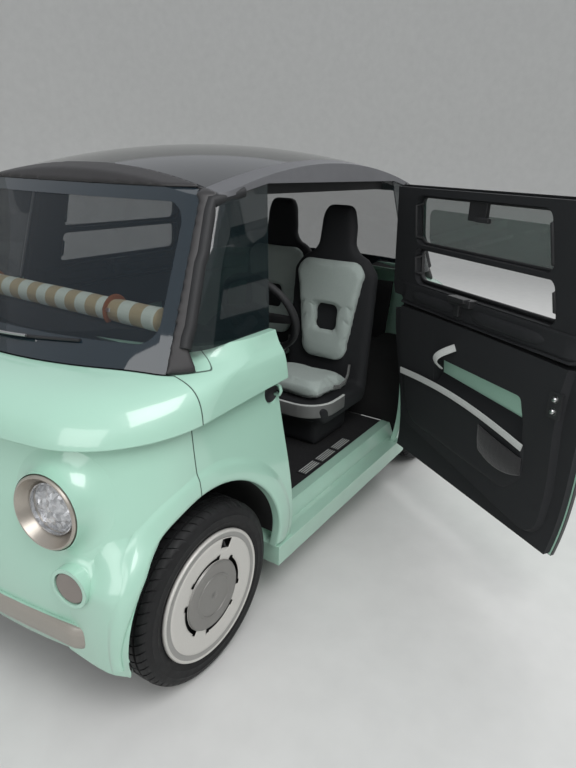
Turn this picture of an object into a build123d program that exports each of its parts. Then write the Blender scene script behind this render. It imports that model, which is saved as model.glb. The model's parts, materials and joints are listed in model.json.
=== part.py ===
from build123d import *
from functools import lru_cache
import math
import os

# An electric two-seat microcar: +X forward, +Y to its left, +Z up, ground at Z = 0.
# Front and rear share the same mouldings, and one door pressing serves both sides.

# Overall sizes
LENGTH = 2535
WIDTH = 1396
HEIGHT = 1530
WHEELBASE = 1730

# Wheels and steering
TYRE_RADIUS = 278.5
TYRE_WIDTH = 155
BEAD_RADIUS = 180
TYRE_CENTRE_Y = 603
COVER_RADIUS = 200
KINGPIN_Y = 536
SPINDLE_RADIUS = 22
RUNNING_GAP = 0.3

# Body shell
PANEL = 25
ARCH_RADIUS = 327
ARCH_RISE = 22
SEAM_X = 900
CREASE_MIDDLE = 866
CREASE_END = 820
BELT_TOP = 1006
ROOF_RADIUS = 2690
ROOF_PANEL = 20
GLASS = 5
GLASS_INSET = 5
SURROUND = 36
LINER = 4

# Door opening, as half lengths along the car at three heights
SILL_TOP = 250
DOOR_BOTTOM = 262
DOOR_TOP = 1405
DOOR_HALF_BOTTOM = 446
DOOR_HALF_BELT = 520
DOOR_HALF_TOP = 440
DOOR_GAP = 7
DOOR_SKIN = 14
DOOR_FRAME = 28
DOOR_BOARD = 22
FRAME_MARGIN = 8
HINGE_X = 484
HINGE_Y = 704
LEFT_DOOR_OPEN = 57
HINGE_HEIGHTS = (430, 800)
HINGE_BARREL = 10
HINGE_PIN = 6
HINGE_LENGTH = 44
HINGE_EAR = 9
HINGE_LEAF = 60
HINGE_ARM = 26
HINGE_FOOT = 52
HINGE_REACH = 60
HINGE_PLATE = 8
WINDOW_TOP = 1368
WINDOW_BOTTOM = 1045
WINDOW_BAR = 1183
WINDOW_BAR_HALF = 11
WINDOW_HALF_TOP = 318
WINDOW_HALF_BOTTOM = 352
WINDOW_CORNER = 32
FLAP_HEIGHT = 150
FLAP_STAND = 10
FLAP_TAB_X = 170

# Finger scoop in the fender beside each door's latch
SCOOP_X = 540
SCOOP_Y = 676
SCOOP_Z = 812
SCOOP_RADIUS = 45

# Mirrors on the doors
MIRROR_X = 405
MIRROR_Y = 690
MIRROR_Z = 1325
MIRROR_WIDTH = 120
MIRROR_HEIGHT = 156
MIRROR_DEPTH = 42

# Side glass and roof lines
PILLAR_FOOT_X = 850
PILLAR_HEAD_X = 612
PILLAR_HEAD_Z = 1480
RAIL_BOTTOM_X = 684
RAIL_BOTTOM_Z = 1370
RAIL_INNER_Y = 500
SCREEN_HALF_BOTTOM = 590
SCREEN_HALF_TOP = 512
SCREEN_TOP = 1400

# Lamps and bumper bars
LAMP_Y = 470
LAMP_Z = 670
LAMP_X = 1226
LAMP_RADIUS = 98
LAMP_DEPTH = 66
LENS_RADIUS = 60
LAMP_YAW = 9
SIGNAL_Y = 530
SIGNAL_Z = 478
SIGNAL_X = 1212
SIGNAL_RADIUS = 45
SIGNAL_SOCKET = 11
BAR_LOW = 266
BAR_HIGH = 348
BAR_HALF_WIDTH = 552
BAR_PROUD = 8
BAR_BEVEL = 26
FASCIA_LOW = 190
FASCIA_LOW_SIDE = 242
FASCIA_LOW_Y = 638

# Under the floor
FLOOR_Z = 290
FLOOR_SHEET = 12
FLOOR_TOP = FLOOR_Z + FLOOR_SHEET
SILL_BOTTOM = 176
SILL_OUTER_Y = 690
SILL_STEP_Y = 628
SILL_RISE_Y = 606
SILL_INNER_Y = 562
SILL_HALF_LENGTH = 536
WELL_HALF_WIDTH = 376
RAIL_Y = 325
RAIL_TUBE = 50
RAIL_HALF_LENGTH = 1140
BATTERY_LENGTH = 760
BATTERY_WIDTH = 590
BATTERY_HEIGHT = 108

# Seats and dash
SEAT_Y = 300
SEAT_WIDTH = 420
PASSENGER_Y = -166
PASSENGER_SET_BACK = 235
FIREWALL_X = 748
DASH_HALF_WIDTH = 570
DASH_REACH = 925
DASH_CORNER = 270
DASH_TOP = 1035
ROLL_X = 822
ROLL_RADIUS = 30
ROLL_HALF_LENGTH = 500
WHEEL_X = 130
WHEEL_Z = 925
WHEEL_TILT = 25
RIM_RADIUS = 165
RIM_TUBE = 14
COLUMN_RADIUS = 24
COLUMN_LENGTH = 560

AXLE_X = WHEELBASE / 2

# Columns: height, set back from the half length, set in from the half width, bow radius, corner radius
LOWER_SECTIONS = (
    (170, 56, 50, 2600, 230),
    (300, 13, 12, 2600, 220),
    (560, 20, 16, 2500, 240),
    (960, 62, 46, 2100, 305),
)
BELT_SECTIONS = (
    (760, 36, 10, 2200, 320),
    (860, 33, 6, 2200, 330),
    (910, 72, 10, 1900, 340),
    (955, 205, 26, 1650, 330),
    (BELT_TOP, 312, 46, 1500, 300),
)
CABIN_SECTIONS = (
    (940, 197, 53, 1250, 160),
    (1410, 545, 136, 4000, 100),
    (1560, 656, 163, 4200, 90),
)


def plan_outline(half_length, half_width, bow_radius, corner_radius):
    """Closed plan outline with straight sides, round corners and a wide bow at each end."""
    bow_x = half_length - bow_radius
    corner_y = half_width - corner_radius
    corner_x = bow_x + math.sqrt((bow_radius - corner_radius) ** 2 - corner_y ** 2)
    turn = math.atan2(corner_y, corner_x - bow_x)
    join = (bow_x + bow_radius * math.cos(turn), bow_radius * math.sin(turn))
    half_turn = (turn + math.pi / 2) / 2
    bend = (corner_x + corner_radius * math.cos(half_turn), corner_y + corner_radius * math.sin(half_turn))
    with BuildLine() as outline:
        Line((-corner_x, half_width), (corner_x, half_width))
        ThreePointArc((corner_x, half_width), bend, join)
        ThreePointArc(join, (half_length, 0), (join[0], -join[1]))
        ThreePointArc((join[0], -join[1]), (bend[0], -bend[1]), (corner_x, -half_width))
        Line((corner_x, -half_width), (-corner_x, -half_width))
        ThreePointArc((-corner_x, -half_width), (-bend[0], -bend[1]), (-join[0], -join[1]))
        ThreePointArc((-join[0], -join[1]), (-half_length, 0), (-join[0], join[1]))
        ThreePointArc((-join[0], join[1]), (-bend[0], bend[1]), (-corner_x, half_width))
    return outline.line


@lru_cache
def plan_loft(sections, inset, ruled):
    """Body volume lofted through plan outlines, each set in by the same amount."""
    with BuildPart() as volume:
        for height, set_back, set_in, bow_radius, corner_radius in sections:
            with BuildSketch(Plane.XY.offset(height)):
                with BuildLine():
                    add(plan_outline(LENGTH / 2 - set_back - inset, WIDTH / 2 - set_in - inset,
                                     bow_radius - inset, corner_radius - inset))
                make_face()
        loft(ruled=ruled)
    return volume.part


@lru_cache
def below_crease(drop):
    """Everything under the crease that runs round the car below its belt."""
    with BuildPart() as block:
        with BuildSketch(Plane.XZ):
            with BuildLine():
                ThreePointArc((-LENGTH / 2, CREASE_END + drop), (0, CREASE_MIDDLE + drop),
                              (LENGTH / 2, CREASE_END + drop))
                Polyline((LENGTH / 2, CREASE_END + drop), (LENGTH / 2 + 50, CREASE_END + drop),
                         (LENGTH / 2 + 50, 0), (-LENGTH / 2 - 50, 0),
                         (-LENGTH / 2 - 50, CREASE_END + drop), (-LENGTH / 2, CREASE_END + drop))
            make_face()
        extrude(amount=WIDTH, both=True)
    return block.part


@lru_cache
def side_volume(inset):
    """Lower body and the fuller belt that stands over it, as one solid."""
    crease = below_crease(inset)
    with BuildPart() as under:
        add(plan_loft(LOWER_SECTIONS, inset, False))
        add(crease, mode=Mode.INTERSECT)
    with BuildPart() as volume:
        add(plan_loft(BELT_SECTIONS, inset, False))
        add(crease, mode=Mode.SUBTRACT)
        add(under.part)
    return volume.part


@lru_cache
def cabin_volume(inset, roof_inset=None):
    """Glasshouse with straight raked sides under a domed roof."""
    roof_inset = inset if roof_inset is None else roof_inset
    crown = HEIGHT - roof_inset
    radius = ROOF_RADIUS - roof_inset
    reach = 1400
    with BuildPart() as dome:
        with BuildSketch(Plane.XZ):
            with BuildLine():
                drop = radius - math.sqrt(radius ** 2 - reach ** 2)
                half = radius - math.sqrt(radius ** 2 - (reach / 2) ** 2)
                ThreePointArc((0, crown), (reach / 2, crown - half), (reach, crown - drop))
                Polyline((reach, crown - drop), (reach, 0), (0, 0), (0, crown))
            make_face()
        revolve(axis=Axis.Z)
    with BuildPart() as volume:
        add(plan_loft(CABIN_SECTIONS, inset, True))
        add(dome.part, mode=Mode.INTERSECT)
    return volume.part


@lru_cache
def whole_volume(inset):
    """Whole body form, set in by one wall thickness all round, its belt shelf too."""
    with BuildPart() as volume:
        add(side_volume(inset))
        if inset > 0:
            add(box_between((-LENGTH, -WIDTH, BELT_TOP - inset), (LENGTH, WIDTH, HEIGHT)), mode=Mode.SUBTRACT)
        add(cabin_volume(inset))
    return volume.part


def layer(outer, inner, region):
    """What lies in a region inside one volume and outside another."""
    with BuildPart() as wall:
        add(outer)
        add(region, mode=Mode.INTERSECT)
        add(inner, mode=Mode.SUBTRACT)
    return wall.part


def side_prism(points, low_y, high_y, grow=0, corner=0):
    """Prism across the car over an outline seen from its side."""
    with BuildPart() as prism:
        with BuildSketch(Plane.XZ.offset(-low_y)):
            Polygon(*points, align=None)
            if grow:
                offset(amount=grow, kind=Kind.INTERSECTION)
            if corner:
                fillet(vertices(), radius=corner)
        extrude(amount=low_y - high_y)
    return prism.part


def box_between(low, high):
    """Block between two opposite corners."""
    size = [high[i] - low[i] for i in range(3)]
    with BuildPart() as block:
        with Locations(tuple((low[i] + high[i]) / 2 for i in range(3))):
            Box(*size)
    return block.part


def both_ways(shape, across):
    """A shape with its mirror image on the other side of a plane."""
    with BuildPart() as pair:
        add(shape)
        mirror(shape, about=across)
    return pair.part


def four_ways(shape):
    """A shape at all four corners of the car."""
    return both_ways(both_ways(shape, Plane.XZ), Plane.YZ)


def wheel_places():
    """Name, X and side of each wheel."""
    return (
        ("front_left", AXLE_X, 1),
        ("front_right", AXLE_X, -1),
        ("rear_left", -AXLE_X, 1),
        ("rear_right", -AXLE_X, -1),
    )


DOOR_OUTLINE = (
    (-DOOR_HALF_BOTTOM, DOOR_BOTTOM),
    (DOOR_HALF_BOTTOM, DOOR_BOTTOM),
    (DOOR_HALF_BELT, BELT_TOP),
    (DOOR_HALF_TOP, DOOR_TOP),
    (-DOOR_HALF_TOP, DOOR_TOP),
    (-DOOR_HALF_BELT, BELT_TOP),
)


def window_half(height):
    """Half length of the door window at a height."""
    share = (height - WINDOW_BOTTOM) / (WINDOW_TOP - WINDOW_BOTTOM)
    return WINDOW_HALF_BOTTOM + share * (WINDOW_HALF_TOP - WINDOW_HALF_BOTTOM)


def window_outline(low, high):
    """Part of the door window between two heights."""
    return (
        (-window_half(low), low),
        (window_half(low), low),
        (window_half(high), high),
        (-window_half(high), high),
    )


side_outer = side_volume(0)
side_inner = side_volume(PANEL)
cabin_outer = cabin_volume(0)

pieces = {}


def keep(builder, name):
    """Keep a finished piece under its name."""
    builder.part.label = name
    pieces[name] = builder.part


def wheel_hole(x, radius, low_y, high_y):
    """Round space across the car above one axle."""
    with BuildPart() as hole:
        with BuildSketch(Plane.XZ.offset(-low_y)):
            with Locations((x, TYRE_RADIUS + ARCH_RISE)):
                Circle(radius)
        extrude(amount=low_y - high_y)
    return hole.part


# Lamp frames: a plane whose Z points out of the front left lamp
lamp_plane = Plane(origin=(LAMP_X, LAMP_Y, LAMP_Z),
                   z_dir=(math.cos(math.radians(LAMP_YAW)), math.sin(math.radians(LAMP_YAW)), 0.06),
                   x_dir=(0, 0, 1))
signal_plane = Plane(origin=(SIGNAL_X, SIGNAL_Y, SIGNAL_Z),
                     z_dir=(math.cos(math.radians(LAMP_YAW)), math.sin(math.radians(LAMP_YAW)), 0),
                     x_dir=(0, 0, 1))


def disc(plane, radius, low, high):
    """Round solid along a plane's own Z."""
    with BuildPart() as solid:
        with BuildSketch(plane.offset(low)):
            Circle(radius)
        extrude(amount=high - low)
    return solid.part


# End fascias, the same moulding at the front and the rear
with BuildPart() as under_fascia:
    with BuildSketch(Plane.YZ):
        with BuildLine():
            ThreePointArc((-FASCIA_LOW_Y, FASCIA_LOW_SIDE), (0, FASCIA_LOW), (FASCIA_LOW_Y, FASCIA_LOW_SIDE))
            Polyline((FASCIA_LOW_Y, FASCIA_LOW_SIDE), (WIDTH, FASCIA_LOW_SIDE), (WIDTH, 0), (-WIDTH, 0),
                     (-WIDTH, FASCIA_LOW_SIDE), (-FASCIA_LOW_Y, FASCIA_LOW_SIDE))
        make_face()
    extrude(amount=LENGTH)
with BuildPart() as front_fascia:
    add(layer(side_outer, side_inner, box_between((SEAM_X, -WIDTH, 0), (LENGTH, WIDTH, HEIGHT))))
    add(cabin_outer, mode=Mode.SUBTRACT)
    add(both_ways(disc(signal_plane, SIGNAL_RADIUS + SIGNAL_SOCKET, -30, 18), Plane.XZ))
    add(both_ways(disc(lamp_plane, LAMP_RADIUS + RUNNING_GAP, -120, 60), Plane.XZ), mode=Mode.SUBTRACT)
    add(both_ways(disc(signal_plane, SIGNAL_RADIUS + RUNNING_GAP, -60, 60), Plane.XZ), mode=Mode.SUBTRACT)
    add(wheel_hole(AXLE_X, ARCH_RADIUS, -WIDTH, WIDTH), mode=Mode.SUBTRACT)
    add(under_fascia.part, mode=Mode.SUBTRACT)
with BuildPart() as end_fascias:
    add(both_ways(front_fascia.part, Plane.YZ))
keep(end_fascias, "end_fascias")

# Corner fenders between the fascias and the door openings
fender_side = (
    (DOOR_HALF_BOTTOM, SILL_TOP),
    (SEAM_X, SILL_TOP),
    (SEAM_X, BELT_TOP + 20),
    (DOOR_HALF_BELT, BELT_TOP + 20),
    (DOOR_HALF_BELT, BELT_TOP),
)
door_opening = side_prism(DOOR_OUTLINE, 0, WIDTH, grow=DOOR_GAP)
with BuildPart() as corner_fender:
    add(layer(side_outer, side_inner, side_prism(fender_side, 0, WIDTH)))
    add(door_opening, mode=Mode.SUBTRACT)
    add(wheel_hole(AXLE_X, ARCH_RADIUS, 0, WIDTH), mode=Mode.SUBTRACT)


def hinge_ears():
    """Pin and two ears of each left door hinge, standing on the rear fender."""
    with BuildPart() as ears:
        for height in HINGE_HEIGHTS:
            half = HINGE_LENGTH / 2 + RUNNING_GAP
            with Locations((-HINGE_X, HINGE_Y, height)):
                Cylinder(HINGE_PIN, 2 * (half + HINGE_EAR))
            for low in (height - half - HINGE_EAR, height + half):
                with BuildSketch(Plane.XY.offset(low)):
                    with Locations((-HINGE_X, HINGE_Y)):
                        Circle(HINGE_BARREL)
                        Polygon((0, HINGE_BARREL), (-HINGE_FOOT, HINGE_BARREL), (-HINGE_FOOT, -HINGE_REACH),
                                (-HINGE_ARM, -HINGE_REACH), (-HINGE_ARM, -HINGE_BARREL), (0, -HINGE_BARREL),
                                align=None)
                extrude(amount=HINGE_EAR)
        add(side_inner, mode=Mode.SUBTRACT)
    return ears.part


left_ears = hinge_ears()
right_ears = left_ears.rotate(Axis.Z, 180)
with BuildPart() as scoop:
    with Locations((SCOOP_X, SCOOP_Y, SCOOP_Z)):
        Sphere(SCOOP_RADIUS)
with BuildPart() as corner_fenders:
    add(four_ways(corner_fender.part))
    add(scoop.part, mode=Mode.SUBTRACT)
    add(scoop.part.rotate(Axis.Z, 180), mode=Mode.SUBTRACT)
    add(left_ears)
    add(right_ears)
keep(corner_fenders, "corner_fenders")

# Sills with the step that the doors close over
with BuildPart() as sill:
    with BuildSketch(Plane.YZ.offset(-SILL_HALF_LENGTH)):
        Polygon((SILL_INNER_Y, SILL_BOTTOM), (SILL_OUTER_Y, SILL_BOTTOM), (SILL_OUTER_Y, SILL_TOP),
                (SILL_STEP_Y, SILL_TOP), (SILL_RISE_Y, FLOOR_TOP), (SILL_INNER_Y, FLOOR_TOP), align=None)
    extrude(amount=2 * SILL_HALF_LENGTH)
with BuildPart() as sills:
    add(both_ways(sill.part, Plane.XZ))
keep(sills, "sills")

# Floor with its toe board, firewall and rear shelf, in one sheet
well_path = (
    (FIREWALL_X, 900), (FIREWALL_X, 480), (600, FLOOR_TOP),
    (-700, FLOOR_TOP), (-740, 560), (-900, 600), (-960, 900),
)
with BuildPart() as floor_pan:
    with BuildSketch(Plane.XZ.offset(-WELL_HALF_WIDTH)):
        with BuildLine():
            sheet_top = Polyline(*well_path)
            sheet_under = offset(sheet_top, amount=FLOOR_SHEET, side=Side.LEFT, closed=True,
                                 kind=Kind.INTERSECTION)
        make_face()
    extrude(amount=2 * WELL_HALF_WIDTH)
    with BuildSketch(Plane.XY.offset(FLOOR_Z)):
        Rectangle(2 * SILL_HALF_LENGTH - 20, 2 * SILL_INNER_Y - 2 * RUNNING_GAP)
    extrude(amount=FLOOR_SHEET)
keep(floor_pan, "floor_pan")


def pillar_x(height):
    """X of the line behind the front pillar and its header at a height."""
    share = (height - BELT_TOP) / (PILLAR_HEAD_Z - BELT_TOP)
    return PILLAR_FOOT_X + share * (PILLAR_HEAD_X - PILLAR_FOOT_X)


# Screen surrounds: pillars and header as one hoop at each end of the cabin
cabin_inner = cabin_volume(SURROUND)
glass_outer = cabin_volume(GLASS_INSET)
glass_inner = cabin_volume(GLASS_INSET + GLASS)
front_region = side_prism(
    ((PILLAR_FOOT_X, 880), (PILLAR_FOOT_X, BELT_TOP), (pillar_x(1600), 1600), (LENGTH, 1600), (LENGTH, 880)),
    -WIDTH, WIDTH)


def screen_opening(grow):
    """Windscreen opening, seen from the front."""
    with BuildPart() as opening:
        with BuildSketch(Plane.YZ):
            Polygon((-SCREEN_HALF_BOTTOM, 880), (SCREEN_HALF_BOTTOM, 880),
                    (SCREEN_HALF_TOP, SCREEN_TOP), (-SCREEN_HALF_TOP, SCREEN_TOP), align=None)
            fillet(vertices().group_by(Axis.Y)[-1], radius=45)
            if grow:
                offset(amount=grow, kind=Kind.INTERSECTION)
        extrude(amount=LENGTH)
    return opening.part


with BuildPart() as front_surround:
    add(layer(cabin_outer, cabin_inner, front_region))
    add(side_outer, mode=Mode.SUBTRACT)
    add(screen_opening(0), mode=Mode.SUBTRACT)
with BuildPart() as screen_surrounds:
    add(both_ways(front_surround.part, Plane.YZ))
keep(screen_surrounds, "screen_surrounds")

with BuildPart() as windscreen:
    add(layer(glass_outer, glass_inner, front_region))
    add(side_outer, mode=Mode.SUBTRACT)
    add(screen_opening(-RUNNING_GAP), mode=Mode.INTERSECT)
with BuildPart() as screens:
    add(both_ways(windscreen.part, Plane.YZ))
keep(screens, "screens")

# Roof: a rail over each door and a glass panel between the rails
rail_side = (
    (RAIL_BOTTOM_X + 6, RAIL_BOTTOM_Z),
    (DOOR_HALF_TOP + DOOR_GAP, DOOR_TOP + DOOR_GAP),
    (-DOOR_HALF_TOP - DOOR_GAP, DOOR_TOP + DOOR_GAP),
    (-RAIL_BOTTOM_X - 6, RAIL_BOTTOM_Z),
    (-pillar_x(1600), 1600),
    (pillar_x(1600), 1600),
)
with BuildPart() as left_rail:
    add(layer(cabin_outer, cabin_inner, side_prism(rail_side, RAIL_INNER_Y, WIDTH)))
    add(both_ways(front_region, Plane.YZ), mode=Mode.SUBTRACT)
with BuildPart() as roof_rails:
    add(both_ways(left_rail.part, Plane.XZ))
keep(roof_rails, "roof_rails")

roof_side = ((-pillar_x(1400), 1400), (pillar_x(1400), 1400), (pillar_x(1600), 1600), (-pillar_x(1600), 1600))
with BuildPart() as roof_glass:
    add(layer(cabin_outer, cabin_volume(0, ROOF_PANEL), side_prism(roof_side, -RAIL_INNER_Y, RAIL_INNER_Y)))
keep(roof_glass, "roof_glass")

# Quarter glasses between the pillars and the door openings
quarter_side = (
    (DOOR_HALF_TOP, BELT_TOP),
    (pillar_x(BELT_TOP) - RUNNING_GAP, BELT_TOP),
    (pillar_x(RAIL_BOTTOM_Z) - RUNNING_GAP, RAIL_BOTTOM_Z - RUNNING_GAP),
    (DOOR_HALF_TOP + DOOR_GAP, DOOR_TOP + DOOR_GAP - RUNNING_GAP),
    (DOOR_HALF_TOP, DOOR_TOP + DOOR_GAP - RUNNING_GAP),
)
with BuildPart() as quarter_glass:
    add(layer(glass_outer, glass_inner, side_prism(quarter_side, 0, WIDTH)))
    add(door_opening, mode=Mode.SUBTRACT)
with BuildPart() as quarter_glasses:
    add(four_ways(quarter_glass.part))
keep(quarter_glasses, "quarter_glasses")

# Round lamps set deep in conical bezels
with BuildPart() as bezel:
    with BuildSketch(Plane.XZ):
        Polygon((LENS_RADIUS + 2, -LAMP_DEPTH), (LAMP_RADIUS, -LAMP_DEPTH), (LAMP_RADIUS, 0),
                (LAMP_RADIUS - 3, 4), (LAMP_RADIUS - 7, 4), (LENS_RADIUS + 2, -LAMP_DEPTH + 20), align=None)
    revolve(axis=Axis.Z)
with BuildPart() as lamp_bezels:
    add(four_ways(bezel.part.moved(lamp_plane.location)))
keep(lamp_bezels, "lamp_bezels")

with BuildPart() as lens:
    with BuildSketch(Plane.XZ):
        reach = LENS_RADIUS + 2 - RUNNING_GAP
        Polygon((0, -LAMP_DEPTH + 28), (0, -LAMP_DEPTH), (reach, -LAMP_DEPTH), (reach, -LAMP_DEPTH + 12),
                (reach * 0.6, -LAMP_DEPTH + 24), align=None)
    revolve(axis=Axis.Z)
placed_lens = lens.part.moved(lamp_plane.location)
with BuildPart() as headlamps:
    add(both_ways(placed_lens, Plane.XZ))
keep(headlamps, "headlamps")
with BuildPart() as tail_lamps:
    add(both_ways(placed_lens.mirror(Plane.YZ), Plane.XZ))
keep(tail_lamps, "tail_lamps")

with BuildPart() as turn_signal:
    Cylinder(SIGNAL_RADIUS, 36, align=(Align.CENTER, Align.CENTER, Align.MIN))
    fillet(edges().group_by(Axis.Z)[-1], radius=6)
with BuildPart() as turn_signals:
    add(four_ways(turn_signal.part.moved(signal_plane.offset(-20).location)))
keep(turn_signals, "turn_signals")

# Bumper bars with bevelled ends
with BuildPart() as bar_outline:
    with BuildSketch(Plane.YZ):
        with Locations((0, (BAR_LOW + BAR_HIGH) / 2)):
            Rectangle(2 * BAR_HALF_WIDTH, BAR_HIGH - BAR_LOW)
        chamfer(vertices(), BAR_BEVEL)
    extrude(amount=LENGTH)
with BuildPart() as front_bar:
    add(layer(plan_loft(LOWER_SECTIONS, -BAR_PROUD, False), plan_loft(LOWER_SECTIONS, 0, False),
              bar_outline.part))
with BuildPart() as bumper_bars:
    add(both_ways(front_bar.part, Plane.YZ))
keep(bumper_bars, "bumper_bars")

# Wheel arch liners
with BuildPart() as liner:
    add(wheel_hole(AXLE_X, ARCH_RADIUS + 1 + LINER, WELL_HALF_WIDTH + 5, WIDTH))
    add(wheel_hole(AXLE_X, ARCH_RADIUS + 1, 0, WIDTH), mode=Mode.SUBTRACT)
    add(box_between((0, 0, FLOOR_TOP + 1), (LENGTH, WIDTH, HEIGHT)), mode=Mode.INTERSECT)
    add(side_volume(PANEL + RUNNING_GAP), mode=Mode.INTERSECT)
with BuildPart() as wheel_arch_liners:
    add(four_ways(liner.part))
keep(wheel_arch_liners, "wheel_arch_liners")

# Chassis frame: two rails, cross members and strut towers
CROSS_MEMBERS = (-1115, -700, 500, 900, 1115)
with BuildPart() as chassis_frame:
    for side in (1, -1):
        with Locations((0, side * RAIL_Y, FLOOR_Z - RAIL_TUBE / 2)):
            Box(2 * RAIL_HALF_LENGTH, RAIL_TUBE, RAIL_TUBE)
        with Locations((AXLE_X, side * (RAIL_Y + RAIL_TUBE / 2 + 12), 410)):
            Box(120, 24, 340)
    for x in CROSS_MEMBERS:
        with Locations((x, 0, FLOOR_Z - RAIL_TUBE / 2)):
            Box(RAIL_TUBE, 2 * RAIL_Y, RAIL_TUBE)
keep(chassis_frame, "chassis_frame")

with BuildPart() as battery_pack:
    with Locations((-60, 0, FLOOR_Z - BATTERY_HEIGHT / 2)):
        Box(BATTERY_LENGTH, BATTERY_WIDTH, BATTERY_HEIGHT)
    fillet(edges().filter_by(Axis.Z), radius=20)
keep(battery_pack, "battery_pack")

with BuildPart() as drive_motor:
    with Locations((905, 0, FLOOR_Z + 105)):
        Box(230, 360, 210)
    fillet(edges().filter_by(Axis.Y), radius=40)
keep(drive_motor, "drive_motor")

# Suspension: lower arms and struts at the front, a beam with trailing arms at the rear
KNUCKLE_LOW = 176
KNUCKLE_HIGH = 400
PIVOT_GAP = 0.5
with BuildPart() as left_suspension:
    with BuildSketch(Plane.XY.offset(KNUCKLE_LOW - PIVOT_GAP)):
        Polygon((AXLE_X - 110, RAIL_Y - 25), (AXLE_X + 110, RAIL_Y - 25), (AXLE_X + 26, KINGPIN_Y + 22),
                (AXLE_X - 26, KINGPIN_Y + 22), align=None)
        Polygon((AXLE_X - 66, RAIL_Y + 40), (AXLE_X + 66, RAIL_Y + 40), (AXLE_X, KINGPIN_Y - 50),
                align=None, mode=Mode.SUBTRACT)
    extrude(amount=-28)
    for end in (1, -1):
        with Locations((AXLE_X + end * 80, RAIL_Y, (KNUCKLE_LOW - 28 + FLOOR_Z - RAIL_TUBE) / 2)):
            Box(50, 40, FLOOR_Z - RAIL_TUBE - KNUCKLE_LOW + 28)
strut_low = Vector(AXLE_X, KINGPIN_Y, KNUCKLE_HIGH - 20)
strut_high = Vector(AXLE_X, RAIL_Y + 30, 580)
with BuildPart() as left_strut:
    with BuildSketch(Plane(origin=strut_low, z_dir=strut_high - strut_low)):
        Circle(22)
    extrude(amount=(strut_high - strut_low).length)
    add(box_between((0, RAIL_Y + RAIL_TUBE / 2 + 24 + RUNNING_GAP, KNUCKLE_HIGH + PIVOT_GAP),
                    (LENGTH, WIDTH, HEIGHT)), mode=Mode.INTERSECT)
with BuildPart() as front_suspension:
    add(both_ways(left_suspension.part, Plane.XZ))
    add(both_ways(left_strut.part, Plane.XZ))
keep(front_suspension, "front_suspension")

with BuildPart() as rear_axle:
    beam_high = FLOOR_Z - RAIL_TUBE - RUNNING_GAP
    with Locations((-AXLE_X, 0, beam_high - 25)):
        Box(70, 2 * (KINGPIN_Y + 30), 50)
    for side in (1, -1):
        with Locations((-AXLE_X, side * (KINGPIN_Y + 8), 270)):
            Box(70, 44, 160)
        with Locations((-AXLE_X + 200, side * RAIL_Y, beam_high - 25)):
            Box(400, 40, 50)
        with BuildSketch(Plane.XZ.offset(-side * (KINGPIN_Y + 8))):
            with Locations((-AXLE_X, TYRE_RADIUS)):
                Circle(SPINDLE_RADIUS)
        extrude(amount=-side * (TYRE_CENTRE_Y + 45 - KINGPIN_Y - 8))
keep(rear_axle, "rear_axle")

# Wheels, drawn about their own axle along Y with the outer face towards +Y
with BuildPart() as tyre:
    with BuildSketch(Plane.YZ):
        with BuildLine():
            side_high = TYRE_RADIUS - 8
            bead = BEAD_RADIUS + RUNNING_GAP
            half = TYRE_WIDTH / 2
            Polyline((63, 193), (61.7, 191), (61.7, bead), (-61.7, bead), (-61.7, 191), (-63, 193))
            ThreePointArc((-63, 193), (-half, 232), (-64, side_high))
            ThreePointArc((-64, side_high), (0, TYRE_RADIUS), (64, side_high))
            ThreePointArc((64, side_high), (half, 232), (63, 193))
        make_face()
    revolve(axis=Axis.Y)

with BuildPart() as wheel:
    with BuildSketch(Plane.YZ):
        bore = SPINDLE_RADIUS + RUNNING_GAP
        Polygon((-30, bore), (-30, 60), (30, 60), (38, 163), (-68, 167), (-68, 190), (-62, 190),
                (-62, BEAD_RADIUS), (62, BEAD_RADIUS), (62, 190), (COVER_RADIUS * 0.37, COVER_RADIUS),
                (80, COVER_RADIUS - 2), (80, 191), (75, 184), (71, 150), (74, 92), (80, 82),
                (80, 0), (50, 0), (50, bore), align=None)
    revolve(axis=Axis.Y)

for name, x, side in wheel_places():
    place = Location((x, side * TYRE_CENTRE_Y, TYRE_RADIUS), (0, 0, 0 if side > 0 else 180))
    with BuildPart() as placed_tyre:
        add(tyre.part.moved(place))
    keep(placed_tyre, "tyre_" + name)
    with BuildPart() as placed_wheel:
        add(wheel.part.moved(place))
    keep(placed_wheel, "wheel_" + name)

# Steering knuckles with their spindles
with BuildPart() as left_knuckle:
    with Locations((AXLE_X, KINGPIN_Y + 7, (KNUCKLE_LOW + KNUCKLE_HIGH) / 2)):
        Box(64, 46, KNUCKLE_HIGH - KNUCKLE_LOW)
    fillet(edges().filter_by(Axis.Y), radius=16)
    with BuildSketch(Plane.XZ.offset(-KINGPIN_Y)):
        with Locations((AXLE_X, TYRE_RADIUS)):
            Circle(SPINDLE_RADIUS)
    extrude(amount=KINGPIN_Y - TYRE_CENTRE_Y - 45)
keep(left_knuckle, "knuckle_left")
with BuildPart() as right_knuckle:
    add(left_knuckle.part.mirror(Plane.XZ))
keep(right_knuckle, "knuckle_right")

# Steering wheel on its raked column
tilt = math.radians(WHEEL_TILT)
steering_plane = Plane(origin=(WHEEL_X, SEAT_Y, WHEEL_Z), z_dir=(-math.cos(tilt), 0, math.sin(tilt)),
                       x_dir=(0, 1, 0))
HUB_RADIUS = 55
HUB_DEPTH = 45
with BuildPart() as steering_wheel:
    Torus(RIM_RADIUS, RIM_TUBE)
    with Locations((0, 0, -HUB_DEPTH / 2)):
        Cylinder(HUB_RADIUS, HUB_DEPTH)
    for turn in (0, 90, 180):
        with Locations(Location((0, 0, -14), (0, 0, turn))):
            with Locations((RIM_RADIUS / 2 + 16, 0, 0)):
                Box(RIM_RADIUS - 32, 42, 12)
with BuildPart() as placed_steering:
    add(steering_wheel.part.moved(steering_plane.location))
keep(placed_steering, "steering_wheel")

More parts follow.
